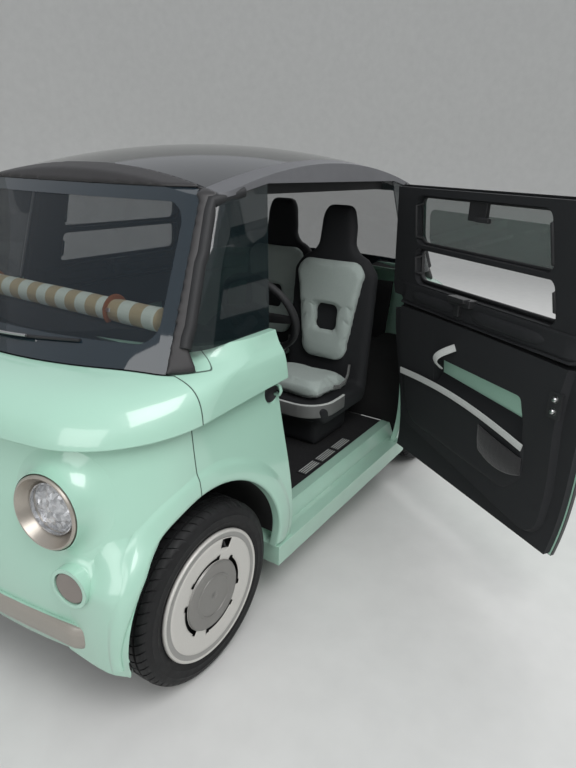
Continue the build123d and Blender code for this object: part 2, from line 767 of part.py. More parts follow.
with BuildPart() as steering_column:
    add(disc(steering_plane, COLUMN_RADIUS, -HUB_DEPTH - RUNNING_GAP - COLUMN_LENGTH, -HUB_DEPTH - RUNNING_GAP))
keep(steering_column, "steering_column")

# Dashboard with a flat top, and the soft roll that lies on it
dash_profile = (
    (FIREWALL_X, 640), (FIREWALL_X, 900), (FIREWALL_X + FLOOR_SHEET, 900), (DASH_REACH - 40, 900), (DASH_REACH, 930),
    (DASH_REACH, 990), (ROLL_X + 50, DASH_TOP), (ROLL_X - 40, DASH_TOP), (640, 1012), (500, 930), (470, 800),
    (540, 640),
)
with BuildPart() as dashboard:
    with BuildSketch(Plane.XZ.offset(-DASH_HALF_WIDTH)):
        Polygon(*dash_profile, align=None)
    extrude(amount=2 * DASH_HALF_WIDTH)
    with BuildSketch(Plane.XY.offset(600)):
        with BuildLine():
            add(plan_outline(DASH_REACH, DASH_HALF_WIDTH, 1300, DASH_CORNER))
        make_face()
    extrude(amount=600, mode=Mode.INTERSECT)
    add(disc(steering_plane, COLUMN_RADIUS + RUNNING_GAP, -1200, 0), mode=Mode.SUBTRACT)
keep(dashboard, "dashboard")

with BuildPart() as dash_roll:
    with BuildSketch(Plane.XZ.offset(-ROLL_HALF_LENGTH)):
        with Locations((ROLL_X, DASH_TOP + ROLL_RADIUS + RUNNING_GAP)):
            Circle(ROLL_RADIUS)
    extrude(amount=2 * ROLL_HALF_LENGTH)
keep(dash_roll, "dash_roll")

# Seats, moulded shells with a headrest in one piece, and their pads
CUSHION_LOW = 520
CUSHION_HIGH = 595
BACK_LEAN = 70
BACK_TOP = 1300
SHOULDER = 1075
PAD_CORNER = 45
pad_outline = ((-118, 90), (118, 90), (132, 300), (182, 440), (150, 565), (-150, 565), (-182, 440), (-132, 300))
shell_profile = (
    (-60, FLOOR_TOP + 130), (-30, CUSHION_LOW), (-395, CUSHION_LOW - 10), (-395 - BACK_LEAN, BACK_TOP),
    (-445 - BACK_LEAN, BACK_TOP), (-445, CUSHION_LOW - 60), (-420, FLOOR_TOP + 130),
)
back_outline = (
    (-SEAT_WIDTH / 2, 0), (SEAT_WIDTH / 2, 0), (SEAT_WIDTH / 2, SHOULDER - 60), (SEAT_WIDTH / 2 - 50, SHOULDER),
    (115, SHOULDER + 15), (100, BACK_TOP), (-100, BACK_TOP), (-115, SHOULDER + 15),
    (50 - SEAT_WIDTH / 2, SHOULDER), (-SEAT_WIDTH / 2, SHOULDER - 60),
)
with BuildPart() as seat_shell:
    with BuildSketch(Plane.XZ.offset(-SEAT_WIDTH / 2)):
        Polygon(*shell_profile, align=None)
    extrude(amount=SEAT_WIDTH)
    with BuildSketch(Plane.YZ.offset(-800)):
        Polygon(*back_outline, align=None)
    extrude(amount=1000, mode=Mode.INTERSECT)
    with Locations((-235, 0, FLOOR_TOP + 65)):
        Box(280, 300, 130)

pad_lean = math.degrees(math.atan2(BACK_LEAN, BACK_TOP - CUSHION_LOW + 10))
with BuildPart() as seat_cushion:
    with BuildSketch(Plane.XZ.offset(-SEAT_WIDTH / 2 + 14)):
        Polygon((-38, CUSHION_LOW + RUNNING_GAP), (-30, CUSHION_HIGH - 20), (-60, CUSHION_HIGH),
                (-345, CUSHION_HIGH - 30), (-345, CUSHION_LOW - 8 + RUNNING_GAP), align=None)
    extrude(amount=SEAT_WIDTH - 28)
with BuildPart() as back_pad:
    pad_plane = Plane(origin=(-395 + RUNNING_GAP, 0, CUSHION_LOW - 10), z_dir=(1, 0, 0),
                      x_dir=(0, 1, 0)).rotated((0, -pad_lean, 0))
    with BuildSketch(pad_plane):
        Polygon(*pad_outline, align=None)
        fillet(vertices(), radius=PAD_CORNER)
        with Locations((0, 290)):
            RectangleRounded(118, 112, 24, mode=Mode.SUBTRACT)
    extrude(amount=38)

with BuildPart() as seat_shells:
    add(seat_shell.part.moved(Location((0, SEAT_Y, 0))))
    add(seat_shell.part.moved(Location((-PASSENGER_SET_BACK, PASSENGER_Y, 0))))
keep(seat_shells, "seat_shells")
with BuildPart() as seat_cushions:
    add(seat_cushion.part.moved(Location((0, SEAT_Y, 0))))
    add(seat_cushion.part.moved(Location((-PASSENGER_SET_BACK, PASSENGER_Y, 0))))
keep(seat_cushions, "seat_cushions")
with BuildPart() as seat_back_pads:
    add(back_pad.part.moved(Location((0, SEAT_Y, 0))))
    add(back_pad.part.moved(Location((-PASSENGER_SET_BACK, PASSENGER_Y, 0))))
keep(seat_back_pads, "seat_back_pads")

# Wiper lying across the foot of the windscreen
with BuildPart() as wiper:
    with BuildSketch(Plane.YZ):
        Polygon((-60, 985), (330, 1010), (330, 1022), (-60, 999), align=None)
    extrude(amount=LENGTH)
    add(cabin_volume(-8), mode=Mode.INTERSECT)
    add(cabin_volume(GLASS_INSET - RUNNING_GAP), mode=Mode.SUBTRACT)
keep(wiper, "wiper")

# Doors, drawn closed on the left side
frame_outer = whole_volume(DOOR_SKIN + RUNNING_GAP)
frame_inner = whole_volume(DOOR_SKIN + RUNNING_GAP + DOOR_FRAME)
board_inner = whole_volume(DOOR_SKIN + RUNNING_GAP + DOOR_FRAME + DOOR_BOARD)
upper_window = window_outline(WINDOW_BAR + WINDOW_BAR_HALF, WINDOW_TOP)
lower_window = window_outline(WINDOW_BOTTOM, WINDOW_BAR - WINDOW_BAR_HALF)
POCKET = ((-190, 600), (290, 600), (290, 690), (270, 780), (-190, 780))
BOARD_OUTLINE = ((-438, 405), (398, 285), (440, 700), (476, 985), (-476, 985), (-452, 700))
BOARD_EDGE_Y = 650
BOARD_DEPTH = 110
BOARD_TAPER = 30

flap_tab = layer(cabin_volume(RUNNING_GAP - FLAP_STAND), cabin_outer,
                 box_between((FLAP_TAB_X, 0, WINDOW_BAR - 8), (FLAP_TAB_X + 50, WIDTH, WINDOW_BAR + 9)))

with BuildPart() as door_skin:
    add(layer(whole_volume(0), whole_volume(DOOR_SKIN), side_prism(DOOR_OUTLINE, 0, WIDTH)))
    for outline in (upper_window, lower_window):
        add(side_prism(outline, 0, WIDTH, corner=WINDOW_CORNER), mode=Mode.SUBTRACT)
    add(both_ways(flap_tab, Plane.YZ))
    for height in HINGE_HEIGHTS:
        with Locations((-HINGE_X, HINGE_Y, height)):
            Cylinder(HINGE_BARREL, HINGE_LENGTH)
        with Locations((-HINGE_X + HINGE_LEAF, HINGE_Y, height)):
            Box(HINGE_LEAF * 2, HINGE_PLATE, HINGE_LENGTH)
        with Locations((-HINGE_X + HINGE_LEAF * 1.75, HINGE_Y - HINGE_REACH / 2, height)):
            Box(HINGE_LEAF / 2, HINGE_REACH, HINGE_LENGTH)
        with Locations((-HINGE_X, HINGE_Y, height)):
            Cylinder(HINGE_PIN + RUNNING_GAP, HINGE_LENGTH, mode=Mode.SUBTRACT)
    add(whole_volume(DOOR_SKIN), mode=Mode.SUBTRACT)

# The trim board stands proud of the frame below the windows, higher towards the hinges
with BuildPart() as board_region:
    with BuildSketch(Plane.XZ.offset(-BOARD_EDGE_Y)):
        Polygon(*BOARD_OUTLINE, align=None)
        fillet(vertices().sort_by(Axis.Y)[0], radius=80)
        fillet(vertices().sort_by(Axis.X)[:3].sort_by(Axis.Y)[0], radius=110)
    extrude(amount=BOARD_DEPTH, taper=BOARD_TAPER)

with BuildPart() as door_lining:
    add(layer(frame_outer, frame_inner, side_prism(DOOR_OUTLINE, 0, WIDTH, grow=-FRAME_MARGIN)))
    add(layer(frame_outer, board_inner, board_region.part))
    add(side_prism(window_outline(WINDOW_BOTTOM - 8, WINDOW_BAR - WINDOW_BAR_HALF), 0, WIDTH,
                   grow=4, corner=WINDOW_CORNER), mode=Mode.SUBTRACT)
    add(side_prism(upper_window, 0, WIDTH, grow=4, corner=WINDOW_CORNER), mode=Mode.SUBTRACT)
    add(side_prism(POCKET, 0, WIDTH, corner=20), mode=Mode.SUBTRACT)

upper_pane = layer(glass_outer, glass_inner,
                   side_prism(upper_window, 0, WIDTH, grow=-RUNNING_GAP, corner=WINDOW_CORNER))
lower_pane = layer(glass_outer, glass_inner,
                   side_prism(lower_window, 0, WIDTH, grow=-RUNNING_GAP, corner=WINDOW_CORNER))
raised_flap = layer(cabin_volume(-FLAP_STAND - GLASS), cabin_volume(-FLAP_STAND),
                    side_prism(window_outline(WINDOW_BAR - 12, WINDOW_BAR + FLAP_HEIGHT), 0, WIDTH,
                               grow=-12, corner=WINDOW_CORNER))

# Door mirror: an oval head on a short arm, ahead of the left door's window
with BuildPart() as left_mirror:
    with Locations((MIRROR_X, MIRROR_Y - 70, MIRROR_Z - 10)):
        Box(22, 140, 34)
    with BuildSketch(Plane.YZ.offset(MIRROR_X - MIRROR_DEPTH / 2)):
        with Locations((MIRROR_Y, MIRROR_Z)):
            Ellipse(MIRROR_WIDTH / 2, MIRROR_HEIGHT / 2)
    extrude(amount=MIRROR_DEPTH)
    add(cabin_outer, mode=Mode.SUBTRACT)

left_hinge = Axis((-HINGE_X, HINGE_Y, 0), (0, 0, 1))


def left_open(shape):
    """A piece of the left door, swung open on its hinge."""
    return shape.rotate(left_hinge, LEFT_DOOR_OPEN)


def right_closed(shape):
    """The same pressing turned round to close the right side."""
    return shape.rotate(Axis.Z, 180)


door_parts = (("skin", (door_skin.part,), (door_skin.part,)),
              ("lining", (door_lining.part,), (door_lining.part,)),
              ("glass", (upper_pane, raised_flap), (upper_pane, lower_pane)))
for name, left_shapes, right_shapes in door_parts:
    with BuildPart() as left_piece:
        for shape in left_shapes:
            add(left_open(shape))
    keep(left_piece, "door_left_" + name)
    with BuildPart() as right_piece:
        for shape in right_shapes:
            add(right_closed(shape))
    keep(right_piece, "door_right_" + name)
with BuildPart() as placed_mirror:
    add(left_open(left_mirror.part))
keep(placed_mirror, "mirror_left")
with BuildPart() as right_mirror:
    add(left_mirror.part.mirror(Plane.XZ))
keep(right_mirror, "mirror_right")

# Every piece is written about the middle of the footprint of the whole car, open door and mirrors included
corners = [piece.bounding_box() for piece in pieces.values()]
middle_x = (min(box.min.X for box in corners) + max(box.max.X for box in corners)) / 2
middle_y = (min(box.min.Y for box in corners) + max(box.max.Y for box in corners)) / 2
os.makedirs("parts", exist_ok=True)
for name, piece in pieces.items():
    moved = piece.moved(Location((-middle_x, -middle_y, 0)))
    moved.label = name
    export_step(moved, "parts/" + name + ".step")
print("middle", middle_x, middle_y)
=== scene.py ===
"""Dresses the electric microcar: paint, glass, wheels, lamps, doors, cabin and studio."""

import sys
import json
import logging
import math
import random
from collections.abc import Callable, Sequence
from dataclasses import dataclass
from enum import Enum
from functools import lru_cache

import bmesh
import bpy
from mathutils import Matrix, Vector
from mathutils.bvhtree import BVHTree
from mathutils.geometry import delaunay_2d_cdt


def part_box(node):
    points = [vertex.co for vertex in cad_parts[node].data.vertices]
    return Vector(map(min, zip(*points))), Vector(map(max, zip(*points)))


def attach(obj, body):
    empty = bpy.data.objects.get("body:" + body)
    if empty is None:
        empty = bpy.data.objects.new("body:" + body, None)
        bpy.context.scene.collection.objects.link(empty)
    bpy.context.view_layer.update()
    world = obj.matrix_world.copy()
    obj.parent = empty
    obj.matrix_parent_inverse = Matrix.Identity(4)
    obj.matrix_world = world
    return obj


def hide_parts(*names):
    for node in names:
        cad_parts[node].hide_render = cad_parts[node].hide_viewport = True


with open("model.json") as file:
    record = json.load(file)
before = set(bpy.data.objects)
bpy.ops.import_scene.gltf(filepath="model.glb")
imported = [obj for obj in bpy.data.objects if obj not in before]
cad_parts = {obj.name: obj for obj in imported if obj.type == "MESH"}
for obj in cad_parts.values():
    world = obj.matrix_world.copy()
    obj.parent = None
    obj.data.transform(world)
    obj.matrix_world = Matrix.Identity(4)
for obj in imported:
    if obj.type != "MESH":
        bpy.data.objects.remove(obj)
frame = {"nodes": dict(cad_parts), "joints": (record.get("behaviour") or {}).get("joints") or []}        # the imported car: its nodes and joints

log = logging.getLogger("microcar")
Point = Sequence[float]
Color = tuple[float, float, float]


class Side(Enum):
    """Sides of the car, with the sign of Y there."""

    LEFT = 1
    RIGHT = -1


# Places


def car_origin() -> Vector:
    """Ground point midway between the four wheels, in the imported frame."""
    middle = (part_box("tyre_rear_right")[0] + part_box("tyre_front_left")[1]) / 2
    return Vector((middle.x, middle.y, 0))


ORIGIN = car_origin()
CAR = Matrix.Translation(ORIGIN)
HALF_TURN = Matrix.Rotation(math.pi, 4, "Z")


def joint_named(name: str) -> dict:
    """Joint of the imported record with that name."""
    return next(joint for joint in frame["joints"] if joint["name"] == name)


def door_place(side: Side) -> Matrix:
    """Where the door pressing stands at rest.

    Args:
        side: side of the car.

    Returns:
        Matrix from the closed left door's place, in the car's coordinates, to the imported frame.
    """
    if side is Side.RIGHT:
        return CAR @ HALF_TURN
    joint = joint_named("swing_door_left")
    pin = Vector(joint["pos_m"])
    opened = math.radians(-joint["range_deg"][0])
    return Matrix.Translation(pin) @ Matrix.Rotation(opened, 4, "Z") @ Matrix.Translation(-pin) @ CAR


def axes_at(place: Point, forward: Point, upward: Point) -> Matrix:
    """Frame with its Z along one direction and its X close to another.

    Args:
        place: origin in the car's coordinates.
        forward: direction of the local Z.
        upward: direction near the local X.

    Returns:
        Matrix from local to car coordinates.
    """
    z_axis = Vector(forward).normalized()
    y_axis = z_axis.cross(Vector(upward)).normalized()
    x_axis = y_axis.cross(z_axis)
    turn = Matrix((x_axis, y_axis, z_axis)).transposed().to_4x4()
    return Matrix.Translation(Vector(place)) @ turn


# Shader values and materials


class Wire:
    """One output of a shader node, on which Python's operators add Math nodes."""

    def __init__(self, shader: "Shader", socket: bpy.types.NodeSocket) -> None:
        """Wrap one socket of a shader's tree."""
        self.shader = shader
        self.socket = socket

    def math(self, operation: str, *others: "Wire | float") -> "Wire":
        """Result of a Math node whose first value is this one."""
        return self.shader.node("ShaderNodeMath", {"operation": operation}, (self, *others))

    def __add__(self, other: "Wire | float") -> "Wire":
        """Sum."""
        return self.math("ADD", other)

    __radd__ = __add__

    def __sub__(self, other: "Wire | float") -> "Wire":
        """Difference."""
        return self.math("SUBTRACT", other)

    def __rsub__(self, other: float) -> "Wire":
        """Difference from a number."""
        return self.shader.node("ShaderNodeMath", {"operation": "SUBTRACT"}, (other, self))

    def __mul__(self, other: "Wire | float") -> "Wire":
        """Product."""
        return self.math("MULTIPLY", other)

    __rmul__ = __mul__

    def __truediv__(self, other: "Wire | float") -> "Wire":
        """Quotient."""
        return self.math("DIVIDE", other)

    def __abs__(self) -> "Wire":
        """Size without sign."""
        return self.math("ABSOLUTE")

    def at_most(self, other: "Wire | float") -> "Wire":
        """The smaller of two values."""
        return self.math("MINIMUM", other)

    def at_least(self, other: "Wire | float") -> "Wire":
        """The larger of two values."""
        return self.math("MAXIMUM", other)

    def within(self, low: float, high: float) -> "Wire":
        """Rise from 0 at one value to 1 at another, held beyond them."""
        return ((self - low) / (high - low)).at_least(0.0).at_most(1.0)

    def line(self, middle: float, half: float) -> "Wire":
        """Mask that is 1 on a thin line about one value."""
        return 1.0 - abs(self - middle).within(half, half * 1.6)


class Shader:
    """Material with one Principled surface, whose nodes all come from one method."""

    def __init__(self, name: str) -> None:
        """Make the material with a bare surface.

        Args:
            name: name of the material.
        """
        self.material = bpy.data.materials.new(name)
        self.material.use_nodes = True
        self.tree = self.material.node_tree
        self.tree.nodes.clear()
        self.surface = self.tree.nodes.new("ShaderNodeBsdfPrincipled")
        self.output = self.tree.nodes.new("ShaderNodeOutputMaterial")
        self.tree.links.new(self.surface.outputs[0], self.output.inputs[0])
        self.place = self.node("ShaderNodeTexCoord", output="Object")
        self.car = self.node("ShaderNodeVectorMath", {"operation": "SUBTRACT"}, (self.place, tuple(ORIGIN)))

    def node(self, kind: str, settings: dict | None = None, inputs: dict | Sequence = (),
             output: str | int = 0) -> Wire:
        """Add one node.

        Args:
            kind: type of the node.
            settings: properties set before anything is linked; "stops" are a ramp's places and colours.
            inputs: values or wires of its sockets, by name or in order.
            output: the socket that is returned.

        Returns:
            The chosen output.
        """
        made = self.tree.nodes.new(kind)
        for name, value in (settings or {}).items():
            if name == "stops":
                while len(made.color_ramp.elements) < len(value):
                    made.color_ramp.elements.new(0.5)
                for element, (position, color) in zip(made.color_ramp.elements, value):
                    element.position = position
                    element.color = (*color, 1.0)
            else:
                setattr(made, name, value)
        pairs = inputs.items() if isinstance(inputs, dict) else enumerate(inputs)
        for key, value in pairs:
            self.feed(made.inputs[key], value)
        return Wire(self, made.outputs[output])

    def feed(self, socket: bpy.types.NodeSocket, value: "Wire | Color | float") -> None:
        """Link a wire to a socket, or set its value.

        Args:
            socket: the input to feed.
            value: a wire, a colour or a number.
        """
        if isinstance(value, Wire):
            self.tree.links.new(value.socket, socket)
        elif isinstance(value, tuple) and len(value) == 3 and len(socket.default_value) == 4:
            socket.default_value = (*value, 1.0)
        else:
            socket.default_value = value

    def set(self, **values: "Wire | Color | float") -> None:
        """Set sockets of the surface, with underscores for the spaces in their names."""
        for name, value in values.items():
            self.feed(self.surface.inputs[name.replace("_", " ")], value)

    def axis(self, letter: str) -> Wire:
        """One of the car's own coordinates."""
        return self.node("ShaderNodeSeparateXYZ", inputs=(self.car,), output=letter)

    def noise(self, scale: float, detail: float = 2.0) -> Wire:
        """Soft noise from 0 to 1, with so many waves in a metre."""
        return self.node("ShaderNodeTexNoise",
                         inputs={"Vector": self.place, "Scale": scale, "Detail": detail})

    def cells(self, scale: float, feature: str = "F1") -> Wire:
        """Distance in a pattern of cells."""
        return self.node("ShaderNodeTexVoronoi", {"feature": feature},
                         {"Vector": self.place, "Scale": scale})

    def waves(self, scale: float, direction: str) -> Wire:
        """Sine bands across one direction."""
        return self.node("ShaderNodeTexWave", {"wave_type": "BANDS", "bands_direction": direction},
                         {"Vector": self.place, "Scale": scale})

    def mix(self, factor: "Wire | float", low: "Wire | Color", high: "Wire | Color") -> Wire:
        """Colour between two colours."""
        return self.node("ShaderNodeMix", {"data_type": "RGBA"}, {0: factor, 6: low, 7: high}, output=2)

    def bump(self, height: Wire, depth: float, edge: float = 0.0) -> None:
        """Raise the surface, with its edges rounded where asked.

        Args:
            height: how high each place stands, from 0 to 1.
            depth: how far 1 is, in metres.
            edge: radius that sharp edges seem to have.
        """
        inputs = {"Height": height, "Distance": depth, "Strength": 1.0}
        if edge:
            inputs["Normal"] = self.node("ShaderNodeBevel", {"samples": 4}, {"Radius": edge})
        self.set(Normal=self.node("ShaderNodeBump", inputs=inputs))


def tinted(color: Color, share: float) -> Color:
    """A colour made lighter or darker by a share."""
    return tuple(min(1.0, part * share) for part in color)


@dataclass(frozen=True)
class Finish:
    """Look of one material."""

    name: str
    color: Color
    roughness: float = 0.5

    def dress(self, shader: Shader) -> None:
        """Set a plain surface with a little variation of its tone.

        Args:
            shader: the material that is being made.
        """
        tone = shader.noise(9.0, 3.0)
        shader.set(Base_Color=shader.mix(tone, tinted(self.color, 0.93), tinted(self.color, 1.06)),
                   Roughness=shader.noise(60.0) * 0.1 + (self.roughness - 0.05))


@lru_cache(maxsize=None)
def material_of(finish: Finish) -> bpy.types.Material:
    """Material of a finish, made once.

    Args:
        finish: the look.

    Returns:
        Its material.
    """
    shader = Shader(finish.name)
    finish.dress(shader)
    return shader.material


@dataclass(frozen=True)
class Paint(Finish):
    """Solid gloss paint with panel seams and road dust low down."""

    seam_x: float = 0.900
    cover_back: float = 0.792
    cover_low: float = 0.956
    cover_corner: float = 0.026
    seam_half: float = 0.0013
    dust: Color = (0.33, 0.36, 0.31)
    groove: Color = (0.02, 0.03, 0.026)
    black: Color = (0.012, 0.0125, 0.0135)

    def black_part(self, shader: Shader) -> Wire | float:
        """Mask of what stays black under the paint."""
        return 0.0

    def dress(self, shader: Shader) -> None:
        """Lay the colour, dust, seams and orange peel.

        Args:
            shader: the material that is being made.
        """
        black = self.black_part(shader)
        along = abs(shader.axis("X"))
        height = shader.axis("Z")
        seam = along.line(self.seam_x, self.seam_half)
        corner_x = (self.cover_back + self.cover_corner - shader.axis("X")).at_least(0.0)
        corner_z = (self.cover_low + self.cover_corner - height).at_least(0.0)
        edge = (corner_x * corner_x + corner_z * corner_z).math("SQRT")
        before_seam = 1.0 - shader.axis("X").within(self.seam_x - 0.001, self.seam_x)
        left = shader.axis("Y").within(0.3, 0.31) * before_seam
        groove = seam.at_least(edge.line(self.cover_corner, 0.0008) * left)
        dust = (1.0 - height.within(0.15, 0.42)) * shader.noise(14.0, 4.0) * 0.5
        clean = shader.mix(shader.noise(2.5), tinted(self.color, 0.985), tinted(self.color, 1.015))
        dusty = shader.mix(dust, clean, self.dust)
        painted = shader.mix(groove * 0.85, dusty, self.groove)
        shader.set(Base_Color=shader.mix(black, painted, self.black),
                   Roughness=dust * 0.4 + groove * 0.4 + self.roughness,
                   Coat_Weight=1.0 - groove.at_least(dust).at_least(black * 0.8), Coat_Roughness=0.06)
        shader.bump(shader.noise(420.0) * 0.02 - groove, 0.0012, 0.004)


@dataclass(frozen=True)
class DoorPaint(Paint):
    """Paint of a door, black above its belt and on its folded edges."""

    pin: tuple[float, float] = (0.0, 0.0)
    opened: float = 0.0
    belt: float = 1.0045
    foot: float = 0.2635
    half_foot: float = 0.446
    half_belt: float = 0.520
    fold: float = 0.002
    blur: float = 0.0004

    def black_part(self, shader: Shader) -> Wire:
        """Mask of the window frame and the folded edges, in the door's own plane.

        Args:
            shader: the material that is being made.

        Returns:
            1 where the door is black.
        """
        x, y = shader.axis("X") - self.pin[0], shader.axis("Y") - self.pin[1]
        along = abs(x * math.cos(self.opened) + y * math.sin(self.opened) + self.pin[0])
        height = shader.axis("Z")
        slope = (self.half_belt - self.half_foot) / (self.belt - self.foot)
        margin = (height - self.foot) * slope + self.half_foot - along
        side = 1.0 - margin.within(self.fold, self.fold + self.blur)
        below = 1.0 - height.within(self.foot, self.foot + self.blur)
        return side.at_least(below).at_least(height.within(self.belt, self.belt + self.blur))


@dataclass(frozen=True)
class Moulded(Finish):
    """Moulded plastic with a fine leather-like grain."""

    grain: float = 650.0
    depth: float = 0.00012
    edge: float = 0.002

    def dress(self, shader: Shader) -> None:
        """Grain the surface and let its sheen vary.

        Args:
            shader: the material that is being made.
        """
        grain = shader.cells(self.grain)
        wear = shader.noise(24.0, 4.0)
        shader.set(Base_Color=shader.mix(wear, tinted(self.color, 0.86), tinted(self.color, 1.14)),
                   Roughness=wear * 0.12 + grain * 0.1 + (self.roughness - 0.1))
        shader.bump(grain, self.depth, self.edge)


@dataclass(frozen=True)
class Metallic(Finish):
    """Satin metallic paint or metal with a fine flake."""

    metallic: float = 0.7
    flake: float = 900.0
    edge: float = 0.0015

    def dress(self, shader: Shader) -> None:
        """Scatter the flake and set the sheen.

        Args:
            shader: the material that is being made.
        """
        flake = shader.cells(self.flake)
        smear = shader.noise(18.0, 4.0)
        shader.set(Base_Color=shader.mix(flake, tinted(self.color, 0.92), tinted(self.color, 1.08)),
                   Metallic=self.metallic, Roughness=smear * 0.14 + (self.roughness - 0.07),
                   Coat_Weight=0.3, Coat_Roughness=0.2)
        shader.bump(shader.noise(300.0), 0.00006, self.edge)


@dataclass(frozen=True)
class Rubber(Finish):
    """Tyre rubber, greyer where dust lies."""

    def dress(self, shader: Shader) -> None:
        """Dust the rubber and give it a fine pebble.

        Args:
            shader: the material that is being made.
        """
        dust = shader.noise(38.0, 5.0).within(0.35, 0.75)
        shader.set(Base_Color=shader.mix(dust, self.color, tinted(self.color, 1.7)),
                   Roughness=dust * 0.2 + (self.roughness - 0.05), Specular_IOR_Level=0.3)
        shader.bump(shader.noise(700.0), 0.0002)


class Pane(Enum):
    """Panes whose dark printed border is drawn."""

    PLAIN = "plain"
    SCREEN = "screen"


@dataclass(frozen=True)
class Glazing(Finish):
    """Tinted glass with its printed border."""

    cover: float = 0.4
    pane: Pane = Pane.PLAIN
    border: float = 0.036
    radius: float = 0.055
    low: float = 0.985
    high: float = 1.400
    half_low: float = 0.574
    half_high: float = 0.512
    printed: float = 0.985

    def dress(self, shader: Shader) -> None:
        """Tint the pane and print its border.

        Args:
            shader: the material that is being made.
        """
        opaque = self.cover
        if self.pane is Pane.SCREEN:
            middle = (self.low + self.high) / 2
            reach = (self.high - self.low) / 2 - self.border - self.radius
            slope = (self.half_high - self.half_low) / (self.high - self.low)
            half = (shader.axis("Z") - self.low) * slope + (self.half_low - self.border - self.radius)
            across = (abs(shader.axis("Y")) - half).at_least(0.0)
            along = (abs(shader.axis("Z") - middle) - reach).at_least(0.0)
            printed = (across * across + along * along).math("SQRT").within(self.radius, self.radius + 0.002)
            opaque = printed * (self.printed - self.cover) + self.cover
        smear = shader.noise(7.0, 3.0)
        shader.set(Base_Color=shader.mix(smear, tinted(self.color, 0.9), tinted(self.color, 1.1)),
                   Roughness=smear * 0.03 + self.roughness, Alpha=opaque, IOR=1.5, Specular_IOR_Level=0.6,
                   Coat_Weight=0.5, Coat_Roughness=0.02)


@dataclass(frozen=True)
class Woven(Finish):
    """Woven cloth with two yarns."""

    yarn: float = 0.0012
    second: Color = (0.6, 0.6, 0.6)

    def dress(self, shader: Shader) -> None:
        """Cross two sets of yarns and mottle them.

        Args:
            shader: the material that is being made.
        """
        scale = 0.16 / self.yarn
        warp = shader.waves(scale, "DIAGONAL")
        weft = shader.waves(scale, "Y")
        fleck = shader.noise(520.0, 2.0)
        shader.set(Base_Color=shader.mix(fleck.within(0.35, 0.7), self.color, self.second),
                   Roughness=fleck * 0.1 + (self.roughness - 0.05), Sheen_Weight=0.25, Sheen_Roughness=0.5)
        shader.bump(warp * weft, self.yarn * 0.25)


@dataclass(frozen=True)
class Striped(Finish):
    """Canvas with pale bands across the length of the roll."""

    second: Color = (0.55, 0.46, 0.26)
    fleck: Color = (0.3, 0.29, 0.22)
    pitch: float = 0.092
    blur: float = 0.001
    reach: float = 2.0

    def dress(self, shader: Shader) -> None:
        """Band the canvas with soft woven edges.

        Args:
            shader: the material that is being made.
        """
        phase = (shader.axis("Y") + self.reach).math("MODULO", self.pitch)
        half = self.pitch / 2
        band = phase.within(0.0, self.blur) * (1.0 - phase.within(half, half + self.blur))
        fleck = shader.noise(600.0, 2.0)
        shade = shader.mix(band, self.color, self.second)
        shader.set(Base_Color=shader.mix(fleck * 0.16, shade, self.fleck),
                   Roughness=fleck * 0.1 + self.roughness, Sheen_Weight=0.2)
        shader.bump(shader.waves(110.0, "Y") * shader.waves(110.0, "X"), 0.0003)


@dataclass(frozen=True)
class Crystal(Finish):
    """Cut facets behind a clear lamp cover."""

    cells: float = 95.0

    def dress(self, shader: Shader) -> None:
        """Vary the facets' brightness.

        Args:
            shader: the material that is being made.
        """
        facet = shader.node("ShaderNodeTexVoronoi", inputs={"Vector": shader.place, "Scale": self.cells},
                            output="Color")
        tone = shader.node("ShaderNodeSeparateColor", inputs=(facet,))
        shader.set(Base_Color=shader.mix(tone, tinted(self.color, 0.45), self.color), Metallic=0.55,
                   Roughness=tone * 0.2 + self.roughness, Coat_Weight=1.0, Coat_Roughness=0.03)


MINT = Paint("mint_gloss_paint", (0.392, 0.638, 0.515), 0.32)
BLACK_TRIM = Moulded("grained_black_trim", (0.016, 0.0165, 0.018), 0.62)
SOFT_TRIM = Moulded("soft_black_trim", (0.011, 0.012, 0.014), 0.78, grain=420.0)
LINER_FELT = Moulded("arch_liner_felt", (0.006, 0.006, 0.006), 0.95, grain=900.0, depth=0.0004)
UMBER = Moulded("umber_surround", (0.026, 0.0245, 0.0255), 0.46, depth=0.00004)
RAIL = Moulded("grey_roof_rail", (0.105, 0.107, 0.115), 0.52, grain=900.0, depth=0.00005)
TAUPE = Metallic("taupe_bar", (0.33, 0.305, 0.27), 0.42, metallic=0.25)
CHAMPAGNE = Metallic("champagne_bezel", (0.46, 0.42, 0.37), 0.36, metallic=0.75)
COVER_SILVER = Metallic("cover_silver", (0.63, 0.615, 0.58), 0.4, metallic=0.3)
COVER_RING = Metallic("cover_ring_silver", (0.36, 0.355, 0.34), 0.38, metallic=0.5)
COVER_GREY = Metallic("cap_grey", (0.25, 0.243, 0.23), 0.42, metallic=0.5)
STEEL = Metallic("bright_steel", (0.55, 0.55, 0.55), 0.3, metallic=1.0)
MIRROR_SILVER = Metallic("mirror_silver", (0.8, 0.82, 0.84), 0.09, metallic=1.0)
BLACK_STEEL = Moulded("black_chassis_paint", (0.02, 0.02, 0.021), 0.5, grain=200.0)
CASE_GREY = Metallic("cast_case_grey", (0.3, 0.31, 0.32), 0.55, metallic=0.6)
TYRE = Rubber("tyre_rubber", (0.0095, 0.0095, 0.010), 0.56)
SCREEN_GLASS = Glazing("screen_glass", (0.010, 0.019, 0.027), 0.02, cover=0.27, pane=Pane.SCREEN)
SIDE_GLASS = Glazing("side_glass", (0.009, 0.016, 0.018), 0.02, cover=0.66)
DOOR_GLASS = Glazing("door_glass", (0.025, 0.07, 0.055), 0.02, cover=0.36)
ROOF_GLASS = Glazing("roof_glass", (0.006, 0.007, 0.008), 0.05, cover=0.94)
LENS_COVER = Glazing("lamp_cover", (0.5, 0.52, 0.54), 0.03, cover=0.16)
LED_FACETS = Crystal("led_facets", (0.86, 0.87, 0.9), 0.1)
